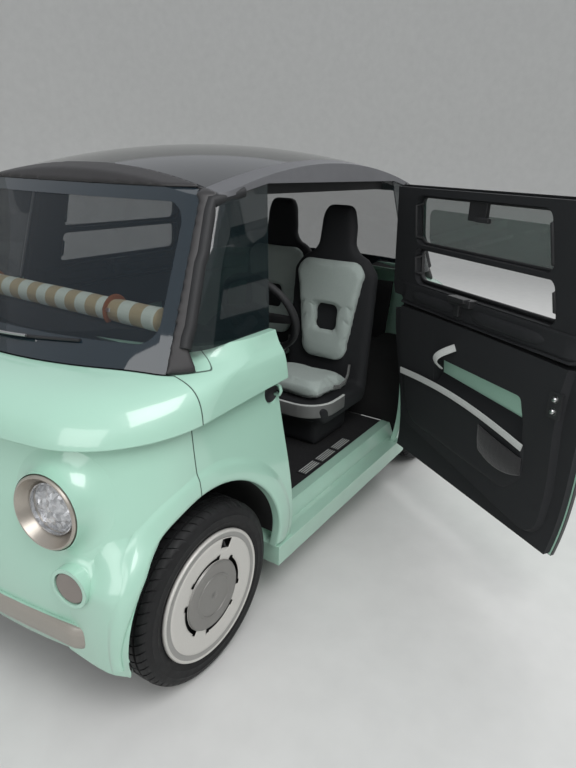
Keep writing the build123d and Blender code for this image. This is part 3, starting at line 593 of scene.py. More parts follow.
RED_FACETS = Crystal("red_facets", (0.55, 0.012, 0.01), 0.14)
SIGNAL_LENS = Finish("signal_lens", (0.23, 0.2, 0.18), 0.2)
PAD_CLOTH = Woven("pad_cloth", (0.36, 0.43, 0.4), 0.85, second=(0.47, 0.53, 0.5))
BLACK_CLOTH = Woven("black_cloth", (0.012, 0.012, 0.013), 0.9, second=(0.03, 0.03, 0.031))
ROLL_CANVAS = Striped("striped_canvas", (0.78, 0.9, 0.8), 0.8)
TAN_LEATHER = Moulded("tan_leather", (0.34, 0.11, 0.035), 0.5, grain=380.0, depth=0.0003)
# pale strap webbing; the same material draws a painted highlight along each seat valance's top rim
STRAP_AND_RIM_HIGHLIGHT = Woven("pale_strap", (0.5, 0.52, 0.5), 0.7, second=(0.62, 0.64, 0.62))
SIDE_VALANCE = Moulded("grey_valance", (0.13, 0.133, 0.13), 0.45)
TREAD_PALE = Moulded("pale_tread_plate", (0.5, 0.52, 0.5), 0.45)
CARPET = Moulded("floor_carpet", (0.01, 0.01, 0.011), 0.95, grain=1100.0, depth=0.0006)
FLOOR_PALE = Finish("studio_floor", (0.66, 0.66, 0.645), 0.75)


# Meshes


def shares(steps: int) -> list[float]:
    """Even shares from 0 to 1, with both ends."""
    return [k / steps for k in range(steps + 1)]


def turns(steps: int) -> list[float]:
    """Even angles round a full turn, each once."""
    return [math.tau * k / steps for k in range(steps)]


QUARTER_TURN = [math.pi / 2 * t for t in shares(8)]


def sheet_rows(down: int, across: int, point: Callable[[float, float], Point]) -> list[list[Point]]:
    """Rows of points over a sheet.

    Args:
        down: steps from row to row.
        across: steps along each row.
        point: gives the point at a share down and a share across.

    Returns:
        The rows.
    """
    return [[point(row, column) for column in shares(across)] for row in shares(down)]


class Shape:
    """Points and faces of one piece, gathered before its mesh is made."""

    def __init__(self) -> None:
        """Start empty."""
        self.points: list[Vector] = []
        self.faces: list[tuple[int, ...]] = []
        self.marks: list[int] = []

    def net(self, rows: Sequence[Sequence[Point]], ring_rows: bool = False, ring_columns: bool = False,
            mark: int = 0, keep: Callable[[int, int], bool] | None = None) -> "Shape":
        """Add quads over rows of points.

        Args:
            rows: rows of points, all of one length.
            ring_rows: whether the last row joins the first.
            ring_columns: whether each row is a closed ring.
            mark: number of the finish.
            keep: tells from a row and a column whether a quad is kept.

        Returns:
            This shape.
        """
        start = len(self.points)
        count = len(rows[0])
        self.points.extend(Vector(point) for row in rows for point in row)
        for i in range(len(rows) - (not ring_rows)):
            below = (i + 1) % len(rows)
            for j in range(count - (not ring_columns)):
                if keep is None or keep(i, j):
                    beside = (j + 1) % count
                    self.faces.append(tuple(start + k for k in (i * count + j, i * count + beside,
                                                                below * count + beside, below * count + j)))
                    self.marks.append(mark)
        return self

    def cap(self, ring: Sequence[Point], mark: int = 0) -> "Shape":
        """Close a ring of points with one face.

        Args:
            ring: the points.
            mark: number of the finish.

        Returns:
            This shape.
        """
        start = len(self.points)
        self.points.extend(Vector(point) for point in ring)
        self.faces.append(tuple(range(start, start + len(ring))))
        self.marks.append(mark)
        return self

    def lathe(self, profile: Sequence[tuple[float, float]], steps: int = 64, mark: int = 0,
              place: Matrix = Matrix(), closed: bool = False) -> "Shape":
        """Turn a profile about the local Z.

        Args:
            profile: radius and height of each point.
            steps: points round each ring.
            mark: number of the finish.
            place: matrix to the shape's coordinates.
            closed: whether the profile is a closed ring.

        Returns:
            This shape.
        """
        rows = []
        for radius, height in profile:
            rows.append([place @ Vector((radius * math.cos(a), radius * math.sin(a), height))
                         for a in turns(steps)])
        return self.net(rows, ring_rows=closed, ring_columns=True, mark=mark)

    def sweep(self, path: Sequence[Point], section: Sequence[tuple[float, float]], up: Point = (0, 0, 1),
              mark: int = 0, scale: Callable[[float], float] | None = None, ring: bool = False) -> "Shape":
        """Carry a closed section along a path.

        Args:
            path: points of the path.
            section: offsets to the side and upwards of the section's points.
            up: direction that the section's second offset leans to.
            mark: number of the finish.
            scale: size of the section at a share of the path.
            ring: whether the path is closed.

        Returns:
            This shape.
        """
        points = [Vector(point) for point in path]
        count = len(points)
        rows = []
        for i, point in enumerate(points):
            ahead = points[(i + 1) % count] if ring else points[min(i + 1, count - 1)]
            behind = points[i - 1] if ring else points[max(i - 1, 0)]
            along = (ahead - behind).normalized()
            side = along.cross(Vector(up)).normalized()
            top = side.cross(along)
            size = scale(i / (count - 1)) if scale else 1.0
            rows.append([point + side * (a * size) + top * (b * size) for a, b in section])
        self.net(rows, ring_rows=ring, ring_columns=True, mark=mark)
        if not ring:
            self.cap(rows[0], mark).cap(rows[-1], mark)
        return self

    def block(self, low: Point, high: Point, mark: int = 0, place: Matrix = Matrix()) -> "Shape":
        """Add a block, to be rounded by its bevel.

        Args:
            low: corner with the lowest coordinates.
            high: corner with the highest.
            mark: number of the finish.
            place: matrix to the shape's coordinates.

        Returns:
            This shape.
        """
        (x0, y0, z0), (x1, y1, z1) = low, high
        rows = [[place @ Vector((x, y, z)) for x, y in ((x0, y0), (x1, y0), (x1, y1), (x0, y1))]
                for z in (z0, z1)]
        return self.net(rows, ring_columns=True, mark=mark).cap(rows[0], mark).cap(rows[1], mark)

    def join(self, other: "Shape", place: Matrix = Matrix()) -> "Shape":
        """Add another shape.

        Args:
            other: the shape to add.
            place: matrix that moves it.

        Returns:
            This shape.
        """
        start = len(self.points)
        self.points.extend(place @ point for point in other.points)
        self.faces.extend(tuple(start + k for k in face) for face in other.faces)
        self.marks.extend(other.marks)
        return self


def ring_section(half_wide: float, half_high: float, power: float = 2.0,
                 steps: int = 12) -> list[tuple[float, float]]:
    """Closed section between an ellipse and a rounded rectangle.

    Args:
        half_wide: half its width.
        half_high: half its height.
        power: 2 for an ellipse, and more for squarer corners.
        steps: number of points.

    Returns:
        Its points.
    """
    points = []
    for angle in turns(steps):
        c, s = math.cos(angle), math.sin(angle)
        points.append((half_wide * math.copysign(abs(c) ** (2 / power), c),
                       half_high * math.copysign(abs(s) ** (2 / power), s)))
    return points


def rounded_outline(half_wide: float, half_high: float, corner: float, steps: int = 5,
                    middle: tuple[float, float] = (0, 0)) -> list[tuple[float, float]]:
    """Outline of a rectangle with round corners.

    Args:
        half_wide: half its width.
        half_high: half its height.
        corner: radius of its corners.
        steps: steps round each corner.
        middle: its centre.

    Returns:
        Its points.
    """
    points = []
    for turn, (sx, sy) in enumerate(((1, 1), (-1, 1), (-1, -1), (1, -1))):
        for k in range(steps + 1):
            angle = math.pi / 2 * (turn + k / steps)
            points.append((middle[0] + sx * (half_wide - corner) + corner * math.cos(angle),
                           middle[1] + sy * (half_high - corner) + corner * math.sin(angle)))
    return points


def at_corners(shape: Shape) -> Shape:
    """Mirror a shape of the left front corner to all four.

    Args:
        shape: the shape, in the car's coordinates.

    Returns:
        The four copies together.
    """
    copies = Shape()
    for end in (1, -1):
        for side in (1, -1):
            copies.join(shape, Matrix.Diagonal((end, side, 1, 1)))
    return copies


def make(name: str, shape: Shape, finishes: Sequence[Finish], body: str, slot: str, place: Matrix = CAR,
         sharp: float = 35.0, bevel: float = 0.0, levels: int = 0, thick: float = 0.0,
         replaces: Sequence[str] = ()) -> bpy.types.Object:
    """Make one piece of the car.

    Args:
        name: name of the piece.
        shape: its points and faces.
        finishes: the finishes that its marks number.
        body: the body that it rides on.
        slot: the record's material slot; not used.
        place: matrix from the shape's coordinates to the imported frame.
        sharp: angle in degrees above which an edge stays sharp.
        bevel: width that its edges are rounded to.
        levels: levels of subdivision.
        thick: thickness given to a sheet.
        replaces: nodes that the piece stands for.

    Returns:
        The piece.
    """
    mesh = bpy.data.meshes.new(name)
    mesh.from_pydata([place @ point for point in shape.points], [], shape.faces)
    for finish in finishes:
        mesh.materials.append(material_of(finish))
    mesh.polygons.foreach_set("material_index", shape.marks)
    cleaned = bmesh.new()
    cleaned.from_mesh(mesh)
    bmesh.ops.remove_doubles(cleaned, verts=cleaned.verts, dist=0.00002)
    bmesh.ops.recalc_face_normals(cleaned, faces=cleaned.faces)
    cleaned.to_mesh(mesh)
    cleaned.free()
    mesh.polygons.foreach_set("use_smooth", [True] * len(mesh.polygons))
    piece = bpy.data.objects.new(name, mesh)
    bpy.context.scene.collection.objects.link(piece)
    if thick:
        solid = piece.modifiers.new("thickness", "SOLIDIFY")
        solid.thickness = thick
        solid.offset = 0.0
    if bevel:
        edge = piece.modifiers.new("edges", "BEVEL")
        edge.width = bevel
        edge.segments = 3
        edge.angle_limit = math.radians(sharp)
        edge.harden_normals = True
    elif levels:
        piece.modifiers.new("smooth", "SUBSURF").render_levels = levels
        piece.modifiers["smooth"].levels = levels
    else:
        mesh.set_sharp_from_angle(angle=math.radians(sharp))
    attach(piece, body)
    if replaces:
        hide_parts(*replaces)
    log.info("%s: %d faces on %s", name, len(mesh.polygons), body)
    return piece


def dress_node(node: str, finish: Finish) -> None:
    """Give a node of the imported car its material.

    Args:
        node: name of the node.
        finish: its look.
    """
    slots = frame["nodes"][node].data.materials
    slots.clear()
    slots.append(material_of(finish))


def softened(node: str, name: str, finish: Finish, voxel: float, rounds: int, body: str,
             grow: float = 0.0, reshape: Callable[[Vector], Vector] | None = None) -> bpy.types.Object:
    """Stand a smooth moulded copy in place of an angular node.

    Args:
        node: the node to copy and replace.
        name: name of the piece.
        finish: its finish.
        voxel: size of the grid that the copy is built on.
        rounds: passes of smoothing, which round its edges.
        body: the body that it rides on.
        grow: how far its surface is moved out before it is smoothed.
        reshape: gives the new place of a point, both in the car's coordinates.

    Returns:
        The piece.
    """
    piece = bpy.data.objects.new(name, frame["nodes"][node].data.copy())
    bpy.context.scene.collection.objects.link(piece)
    grid = piece.modifiers.new("grid", "REMESH")
    grid.mode = "VOXEL"
    grid.voxel_size = voxel
    grid.use_smooth_shade = True
    if grow:
        fuller = piece.modifiers.new("fuller", "DISPLACE")
        fuller.strength = grow
        fuller.mid_level = 0.0
    ease = piece.modifiers.new("ease", "SMOOTH")
    ease.factor = 0.5
    ease.iterations = rounds
    if reshape:
        smooth = piece.evaluated_get(bpy.context.evaluated_depsgraph_get())
        piece.data = bpy.data.meshes.new_from_object(smooth)
        piece.modifiers.clear()
        for vertex in piece.data.vertices:
            vertex.co = ORIGIN + reshape(vertex.co - ORIGIN)
    piece.data.materials.clear()
    piece.data.materials.append(material_of(finish))
    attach(piece, body)
    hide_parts(node)
    log.info("%s stands for %s", name, node)
    return piece


def surface_of(nodes: Sequence[str], place: Matrix, extra: Shape | None = None) -> BVHTree:
    """Surface of some nodes, for finding points on them.

    Args:
        nodes: names of the nodes.
        place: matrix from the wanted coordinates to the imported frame.
        extra: a shape in the wanted coordinates that lies over them.

    Returns:
        A tree in the wanted coordinates.
    """
    back = place.inverted()
    points, faces = [], []
    for node in nodes:
        mesh = frame["nodes"][node].data
        start = len(points)
        points.extend(back @ vertex.co for vertex in mesh.vertices)
        faces.extend([start + k for k in polygon.vertices] for polygon in mesh.polygons)
    if extra:
        start = len(points)
        points.extend(extra.points)
        faces.extend([start + k for k in face] for face in extra.faces)
    return BVHTree.FromPolygons(points, faces)


def eased(value: float, low: float, high: float) -> float:
    """Smooth rise from 0 at one value to 1 at another."""
    t = min(1.0, max(0.0, (value - low) / (high - low)))
    return t * t * (3 - 2 * t)


# Sub-assemblies


@dataclass
class BodyShell:
    """Painted panels with full lower corners, lamp collars, arch lips and finger scoops."""

    panels: tuple[str, ...] = ("end_fascias", "corner_fenders")
    arch_radius: float = 0.327
    arch_height: float = 0.3005
    axle_x: float = 0.865
    edge_gap: float = 0.0012
    edge_y: float = 0.66
    lip_reach: float = 0.070
    lip_depths: tuple[float, ...] = (0.006, 0.028)
    lip_foot: float = 0.267
    lip_steps: int = 84
    lip_taper: float = 0.45
    lip_taper_z: tuple[float, float] = (0.30, 0.52)
    lip_section: tuple[tuple[float, float], ...] = (    # share of the reach, height over the skin
        (1.0, 0.0), (0.93, 0.0008), (0.85, 0.0026), (0.76, 0.0052), (0.65, 0.0070),
        (0.35, 0.0076), (0.15, 0.0070), (0.05, 0.0056), (0.0, 0.002))
    corner_x: float = 1.212
    corner_low: float = 0.243
    corner_reach: float = 0.062
    corner_fade: tuple[float, float] = (0.50, 0.615)
    corner_foot: float = 0.024
    corner_steps: int = 28
    corner_inset: tuple[float, float, float] = (-0.016, -0.012, -0.001)
    corner_plan: tuple[tuple[float, float, float], ...] = (   # setback, place across, share of the way
        (0.0, 0.475, 0.0), (0.0, 0.52, 0.0), (0.0006, 0.56, 0.0), (0.002, 0.595, 0.0), (0.005, 0.622, 0.0),
        (0.0105, 0.644, 0.0), (0.019, 0.661, 0.0), (0.030, 0.673, 0.0), (0.044, 0.681, 0.3),
        (0.060, 0.6855, 0.6), (0.080, 0.688, 1.0))
    socket_top: float = 0.545
    lamp_rim: float = 0.1008
    signal_rim: float = 0.0535
    collar_depths: tuple[float, float] = (0.012, 0.105)
    scoop: tuple[float, float, float] = (0.540, 0.676, 0.812)
    scoop_radius: float = 0.0444
    scoop_edge: float = 0.5105

    def corner(self) -> Shape:
        """Full lower corner of the nose, which runs out to the edge of the wheel opening.

        Returns:
            The left front corner, which fades into the skin above it.
        """
        skin = surface_of(self.panels, CAR)
        inner_y = self.corner_plan[0][1]
        rows = []
        for rise in shares(self.corner_steps):
            z = self.corner_low + (self.corner_fade[1] - self.corner_low) * rise
            full = 1.0 - eased(z, *self.corner_fade)
            edge_x = self.axle_x + math.sqrt(self.arch_radius ** 2 - (z - self.arch_height) ** 2)
            band = (self.arch_radius + self.corner_reach) ** 2 - (z - self.arch_height) ** 2
            front = min(self.corner_x, self.axle_x + math.sqrt(band))
            edge_y = skin.find_nearest(Vector((edge_x, self.edge_y, z)))[0].y
            row = []
            for t, (setback, across, share) in zip(shares(len(self.corner_plan) - 1), self.corner_plan):
                y = inner_y + (edge_y - inner_y) * t ** 0.8
                above = Vector((2.0, y - 0.0005, max(z, self.socket_top)))
                hit = skin.ray_cast(above, Vector((-1, 0, 0)))[0]
                near = Vector((edge_x if hit is None or t == 1.0 else hit.x, y, z))
                x = max(front - setback, edge_x)
                foot = self.corner_foot * share ** 2 * max(0.0, 1.0 - 7.0 * rise)
                wanted = Vector((x + (edge_x - x) * share, across, z + foot))
                row.append(near.lerp(wanted, full) - Vector((0.002, 0.001, 0.0)) * (1.0 - full))
            rows.append(row)
        rows.insert(0, [point + Vector(self.corner_inset) for point in rows[0]])
        return Shape().net(rows)

    def collar(self, skin: BVHTree, place: Matrix, rim: float, steps: int = 72) -> Shape:
        """Body colour swelling round a lamp, from its rim to the skin behind it.

        Args:
            skin: the skin it runs out on.
            place: frame of the lamp, its Z pointing out.
            rim: radius of the rim.
            steps: number of stations round the lamp.

        Returns:
            The swelling.
        """
        axis = (place.to_3x3() @ Vector((0, 0, 1))).normalized()
        outs = [Vector((math.cos(angle), math.sin(angle), 0)) for angle in turns(steps)]
        least, most = self.collar_depths
        depths = []
        for out in outs:
            hit = skin.ray_cast(place @ (out * (rim + 0.007)), -axis)
            depths.append(min(most, max(least, hit[3] if hit[0] is not None else most)))
        for _ in range(6):
            depths = [(depths[k - 1] + 2 * depths[k] + depths[(k + 1) % steps]) / 4 for k in range(steps)]
        rows = []
        for out, depth in zip(outs, depths):
            start = place @ (out * rim + Vector((0, 0, -0.003)))
            bend = start - axis * depth * 0.85
            side = place.to_3x3() @ out
            foot = skin.find_nearest(bend + side * (0.012 + 0.75 * depth) - axis * depth * 0.15)[0]
            row = [start * (1 - t) ** 2 + bend * (2 * t * (1 - t)) + foot * t * t for t in shares(8)]
            row[-1] = row[-1] - axis * 0.0015
            rows.append(row)
        return Shape().net(rows, ring_rows=True)

    def collars(self, skin: BVHTree) -> Shape:
        """Body colour swelling round the lamps and the signals.

        Args:
            skin: the skin at the left front.

        Returns:
            All the collars of the car.
        """
        lamps = Lamps()
        lamp = self.collar(skin, lamps.local(lamps.lamp, lamps.lift), self.lamp_rim)
        return at_corners(lamp.join(self.collar(skin, lamps.local(lamps.signal), self.signal_rim)))

    def edge_point(self, skin: BVHTree, angle: float) -> Vector:
        """Point of the left front wheel opening's edge on the skin.

        Args:
            skin: the skin there.
            angle: angle about the axle, from straight ahead and upwards.

        Returns:
            The point.
        """
        radius = self.arch_radius + self.edge_gap
        x, z = self.axle_x + radius * math.cos(angle), self.arch_height + radius * math.sin(angle)
        hit = skin.ray_cast(Vector((x, 1.2, z)), Vector((0, -1, 0)))[0]
        return hit if hit is not None else skin.find_nearest(Vector((x, self.edge_y, z)))[0]

    def lip_row(self, skin: BVHTree, point: Vector, along: Vector) -> list[Vector]:
        """Section of the arch lip at one point of the edge.

        Args:
            skin: the skin it follows.
            point: the point of the edge.
            along: direction of the edge there.

        Returns:
            Points from the outside of the lip to its rolled edge.
        """
        spoke = point - Vector((self.axle_x, point.y, self.arch_height))
        normal = skin.find_nearest(point + spoke.normalized() * 0.012)[1]
        if normal.y < 0:
            normal = -normal
        outward = normal.cross(along).normalized()
        if outward.dot(spoke) < 0:
            outward = -outward
        low_end = 1.0 - eased(point.z, *self.lip_taper_z) if point.x > self.axle_x else 0.0
        reach = self.lip_reach * (1.0 - self.lip_taper * low_end)
        row = [skin.find_nearest(point + outward * (share * reach))[0] + normal * rise
               for share, rise in self.lip_section]
        row.extend([row[-1] - normal * depth for depth in self.lip_depths])
        return row

    def arch_lip(self, skin: BVHTree, corner: BVHTree) -> Shape:
        """Soft flare round a wheel opening that follows the skin, rolled in at its edge.

        Args:
            skin: the skin at the left front.
            corner: the full lower corner alone.

        Returns:
            The lip of the left front opening.
        """
        low = math.asin((self.lip_foot - self.arch_height) / self.arch_radius)
        edge = [self.edge_point(skin, low + (math.pi - 2 * low) * t) for t in shares(self.lip_steps)]
        rows = []
        for k, point in enumerate(edge):
            along = (edge[min(k + 1, self.lip_steps)] - edge[max(k - 1, 0)]).normalized()
            on_corner = point.x > self.axle_x and point.z < self.corner_fade[0]
            rows.append(self.lip_row(corner if on_corner else skin, point, along))
        for _ in range(6):
            inner = [[(a + b * 2 + c) / 4 for a, b, c in zip(*three)]
                     for three in zip(rows, rows[1:], rows[2:])]
            rows = [rows[0], *inner, rows[-1]]
        return Shape().net(rows)

    def paint(self) -> None:
        """Paint the panels and dress what lies behind them."""
        for node in (*self.panels, "sills"):
            dress_node(node, MINT)
        joint = joint_named("swing_door_left")
        pin = Vector(joint["pos_m"]) - ORIGIN
        left = DoorPaint("mint_left_door", MINT.color, MINT.roughness, pin=(pin.x, pin.y),
                         opened=math.radians(-joint["range_deg"][0]))
        dress_node("door_left_skin", left)
        dress_node("door_right_skin", DoorPaint("mint_right_door", MINT.color, MINT.roughness))
        dress_node("wheel_arch_liners", LINER_FELT)

    def swellings(self) -> None:
        """Add the full corners, the arch lips and the lamps' collars."""
        corner = self.corner()
        skin = surface_of(self.panels, CAR, corner)
        lip = self.arch_lip(skin, surface_of((), CAR, corner))
        make("arch_lips", at_corners(lip), (MINT,), "car_body", "body_mint", sharp=50.0)
        make("full_corners", at_corners(corner), (MINT,), "car_body", "body_mint", sharp=60.0)
        make("lamp_collars", self.collars(skin), (MINT,), "car_body", "body_mint", sharp=60.0)

    def finger_scoops(self) -> None:
        """Black cup in each finger scoop, with the door's striker."""
        centre = Vector(self.scoop)

        def cup(down: float, across: float) -> Vector:
            """Point of the cup.

            Args:
                down: share of its depth.
                across: share of a turn.

            Returns:
                The point.
            """
            tilt, angle = 0.02 + 0.92 * down, math.tau * across
            wide = math.sin(tilt)
            out = Vector((wide * math.cos(angle), -math.cos(tilt), wide * math.sin(angle)))
            point = centre + out * self.scoop_radius
            point.x = max(point.x, self.scoop_edge)
            return point

        cups = Shape().net(sheet_rows(8, 24, cup))
        x, y, z = self.scoop_edge + 0.004, centre.y - 0.030, centre.z
        hoop = ((x, y, z - 0.017), (x + 0.004, y + 0.020, z - 0.014), (x + 0.006, y + 0.026, z),
                (x + 0.004, y + 0.020, z + 0.014), (x, y, z + 0.017))
        striker = Shape().sweep(hoop, ring_section(0.0045, 0.006, 2.6, 12), up=(1, 0, 0))
        for name, shape, finish, slot in (("scoop_cups", cups, BLACK_TRIM, "trim_black"),
                                          ("door_strikers", striker, MINT, "body_mint")):
            pair = Shape().join(shape).join(shape, HALF_TURN)
            make(name, pair, (finish,), "car_body", slot, sharp=60.0)

    def build(self) -> None:
        """Paint the shell and add what swells from it."""
        self.paint()
        self.swellings()
        self.finger_scoops()


@dataclass
class Greenhouse:
    """Screens in their thick surrounds, quarter glasses, roof and rails."""

    voxel: float = 0.0045
    rounds: int = 22
    grow: float = 0.004
    glass_low: float = 0.990
    glass_high: float = 1.392
    glass_front: float = 1.1
    seal_half: float = 0.016
    header_half: float = 0.436
    header_top: float = 1.418
    header_low: float = 1.378
    header_y: float = 0.575
    header_gap: float = 0.020
    header_thick: float = 0.006

    def glass_seals(self) -> None:
        """Black seal between each quarter glass and the screen's surround."""
        glass = surface_of(("quarter_glasses",), CAR)
        path = []
        for rise in shares(16):
            z = self.glass_low + (self.glass_high - self.glass_low) * rise
            for step in range(160):
                start = Vector((self.glass_front - 0.004 * step, 1.0, z))
                hit = glass.ray_cast(start, Vector((0, -1, 0)))[0]
                if hit is not None:
                    path.append(hit + Vector((0.012, -0.006, 0.0)))
                    break
        seal = Shape().sweep(path, ring_section(self.seal_half, self.seal_half, 2.4, 14), up=(1, 0, 0))
        make("quarter_seals", at_corners(seal), (BLACK_TRIM,), "car_body", "trim_black", sharp=60.0)

    def door_headers(self) -> None:
        """Black trim inside the top of each door opening."""
        lining = surface_of(("door_right_lining",), CAR @ HALF_TURN)
        middle = (self.header_low + self.header_top) / 2
        path = []
        for t in shares(24):
            x = self.header_half * (2 * t - 1)
            hits = [lining.ray_cast(Vector((x, 0.1, z)), Vector((0, 1, 0)))[0]
                    for z in (self.header_low, middle, self.header_top)]
            inner = min([hit.y for hit in hits if hit is not None] + [self.header_y])
            path.append(Vector((x, inner - self.header_gap, middle)))
        section = ring_section(self.header_thick, (self.header_top - self.header_low) / 2, 4.0, 16)
        strip = Shape().sweep(path, section)
        pair = Shape().join(strip).join(strip, HALF_TURN)
        make("door_headers", pair, (BLACK_TRIM,), "car_body", "trim_black", sharp=60.0)

    def build(self) -> None:
        """Dress the glass and stand soft mouldings for the surrounds."""
        for node, finish in (("screens", SCREEN_GLASS), ("quarter_glasses", SIDE_GLASS),
                             ("roof_glass", ROOF_GLASS), ("roof_rails", RAIL)):
            dress_node(node, finish)
        self.glass_seals()
        self.door_headers()
        softened("screen_surrounds", "surround_tubes", UMBER, self.voxel, self.rounds, "car_body",
                 self.grow)


@dataclass
class Lamps:
    """Round lamps, signals and bumper bars."""

    lamp: tuple[float, float, float] = (1.226, 0.470, 0.670)
    signal: tuple[float, float, float] = (1.212, 0.530, 0.478)
    yaw: float = math.radians(9)
    lift: float = 0.06
    lens_radius: float = 0.069
    lens_rings: int = 7
    bowl: float = 0.016
    dome: float = 0.012
    depth: float = 0.036
    jitter: tuple[float, float] = (0.0028, 0.003)
    signal_radius: float = 0.0447
    signal_front: float = 0.0146
    bar_half: float = 0.549
    bar_middle: float = 0.311
    bar_tall: float = 0.0365
    bar_section: tuple[tuple[float, float], ...] = (    # share of the half height, share of the depth
        (-1.0, 0.0), (-1.0, 0.35), (-0.93, 0.55), (-0.62, 0.94), (-0.5, 1.0),
        (0.4, 1.0), (0.52, 0.94), (0.93, 0.55), (1.0, 0.35), (1.0, 0.0))

    def local(self, place: Point, lift: float = 0.0) -> Matrix:
        """Frame of a round lamp at the left front, its Z pointing out."""
        return axes_at(place, (math.cos(self.yaw), math.sin(self.yaw), lift), (0, 0, 1))

    def facets(self, seed: int) -> Shape:
        """Cut facets over the lamp's bowl.

        Args:
            seed: seed of their uneven places.

        Returns:
            The facets, in the lamp's own frame.
        """
        chance = random.Random(seed)
        sideways, deep = self.jitter
        points = []
        for ring in range(self.lens_rings + 1):
            radius = self.lens_radius * ring / self.lens_rings
            count = max(1, ring * 6)
            spread = 0.0 if ring in (0, self.lens_rings) else sideways
            for k in range(count):
                angle = math.tau * (k + 0.5 * (ring % 2)) / count
                points.append(Vector((radius * math.cos(angle) + chance.uniform(-spread, spread),
                                      radius * math.sin(angle) + chance.uniform(-spread, spread))))
        flat, _, faces, *_ = delaunay_2d_cdt(points, [], [], 0, 0.0001)
        shape = Shape()
        for point in flat:
            bowl = self.bowl * (1 - (point.length / self.lens_radius) ** 2)
            if point.length <= self.lens_radius * 0.95:
                bowl += chance.uniform(-deep, deep)
            shape.points.append(Vector((point.x, point.y, bowl)))
        shape.faces.extend(tuple(face) for face in faces)
        shape.marks.extend([0] * len(faces))
        return shape

    def lights(self, name: str, end: int, finish: Finish, node: str, slot: str) -> None:
        """Faceted bowls with clear covers at one end of the car.

        Args:
            name: first part of the pieces' names.
            end: 1 for the front and -1 for the rear.
            finish: look of the facets.
            node: the node that they stand for.
            slot: the record's material slot.
        """
        cut, cover, ring = Shape(), Shape(), Shape()
        lens = self.lens_radius
        dome = [(lens * math.cos(a), self.bowl + self.dome * math.sin(a)) for a in QUARTER_TURN]
        for side in (1, -1):
            corner = Matrix.Diagonal((end, side, 1, 1)) @ self.local(self.lamp, self.lift)
            place = corner @ Matrix.Translation((0, 0, -self.depth))
            cut.join(self.facets(5 + side), place)
            cut.lathe([(lens, 0.0), (lens, self.bowl - 0.001), (lens - 0.003, self.bowl)], place=place)
            cover.lathe(dome, place=place)
            ring.lathe([(0.0860, -0.002), (0.0850, 0.004), (0.0745, 0.0), (0.0735, 0.003), (lens, 0.004),
                        (lens, -0.004)], place=place)
        make(name + "_facets", cut, (finish,), "car_body", slot, sharp=8.0, replaces=(node,))
        make(name + "_covers", cover, (LENS_COVER,), "car_body", slot)
        make(name + "_rings", ring, (CHAMPAGNE,), "car_body", "lamp_silver", sharp=30.0)

    def signals(self) -> None:
        """Round signal lenses with fine rings."""
        profile = [(0.0, self.signal_front)]
        for k in range(1, 17):
            profile.append((0.0405 * k / 16, self.signal_front + (0.0006 if k % 2 else -0.0002)))
        profile.extend(((0.0432, 0.0138), (0.0445, 0.0118), (self.signal_radius, 0.0), (0.03, -0.01)))
        lens = Shape().lathe(profile, 48, place=self.local(self.signal))
        make("signal_lenses", at_corners(lens), (SIGNAL_LENS,), "car_body", "lens_grey", sharp=60.0,
             replaces=("turn_signals",))

    def bars(self) -> None:
        """Bevelled face along each bumper bar, with its chamfered ends."""
        bar = surface_of(("bumper_bars",), CAR)
        rows = []
        for share in shares(48):
            t = 2 * share - 1
            y = self.bar_half * math.copysign(1 - (1 - abs(t)) ** 1.15, t)
            hit = bar.ray_cast(Vector((2.0, y * 0.985, self.bar_middle)), Vector((-1, 0, 0)))[0]
            end = eased(abs(y), self.bar_half - 0.024, self.bar_half)
            proud = 0.008 + 0.010 * eased(abs(y), 0.40, 0.54) - 0.013 * end
            tall = self.bar_tall - 0.010 * end
            rows.append([Vector((hit.x + (proud * out if out else -0.014), y, self.bar_middle + tall * up))
                         for up, out in self.bar_section])
        front = Shape().net(rows).cap(rows[0]).cap(rows[-1])
        both = Shape().join(front).join(front, Matrix.Diagonal((-1, 1, 1, 1)))
        make("bumper_faces", both, (TAUPE,), "car_body", "bar_taupe", sharp=40.0)

    def build(self) -> None:
        """Dress and add the lamps."""
        dress_node("lamp_bezels", CHAMPAGNE)
        dress_node("bumper_bars", MINT)
        self.bars()
        self.lights("headlamp", 1, LED_FACETS, "headlamps", "lens_clear")
        self.lights("tail_lamp", -1, RED_FACETS, "tail_lamps", "lens_red")
        self.signals()


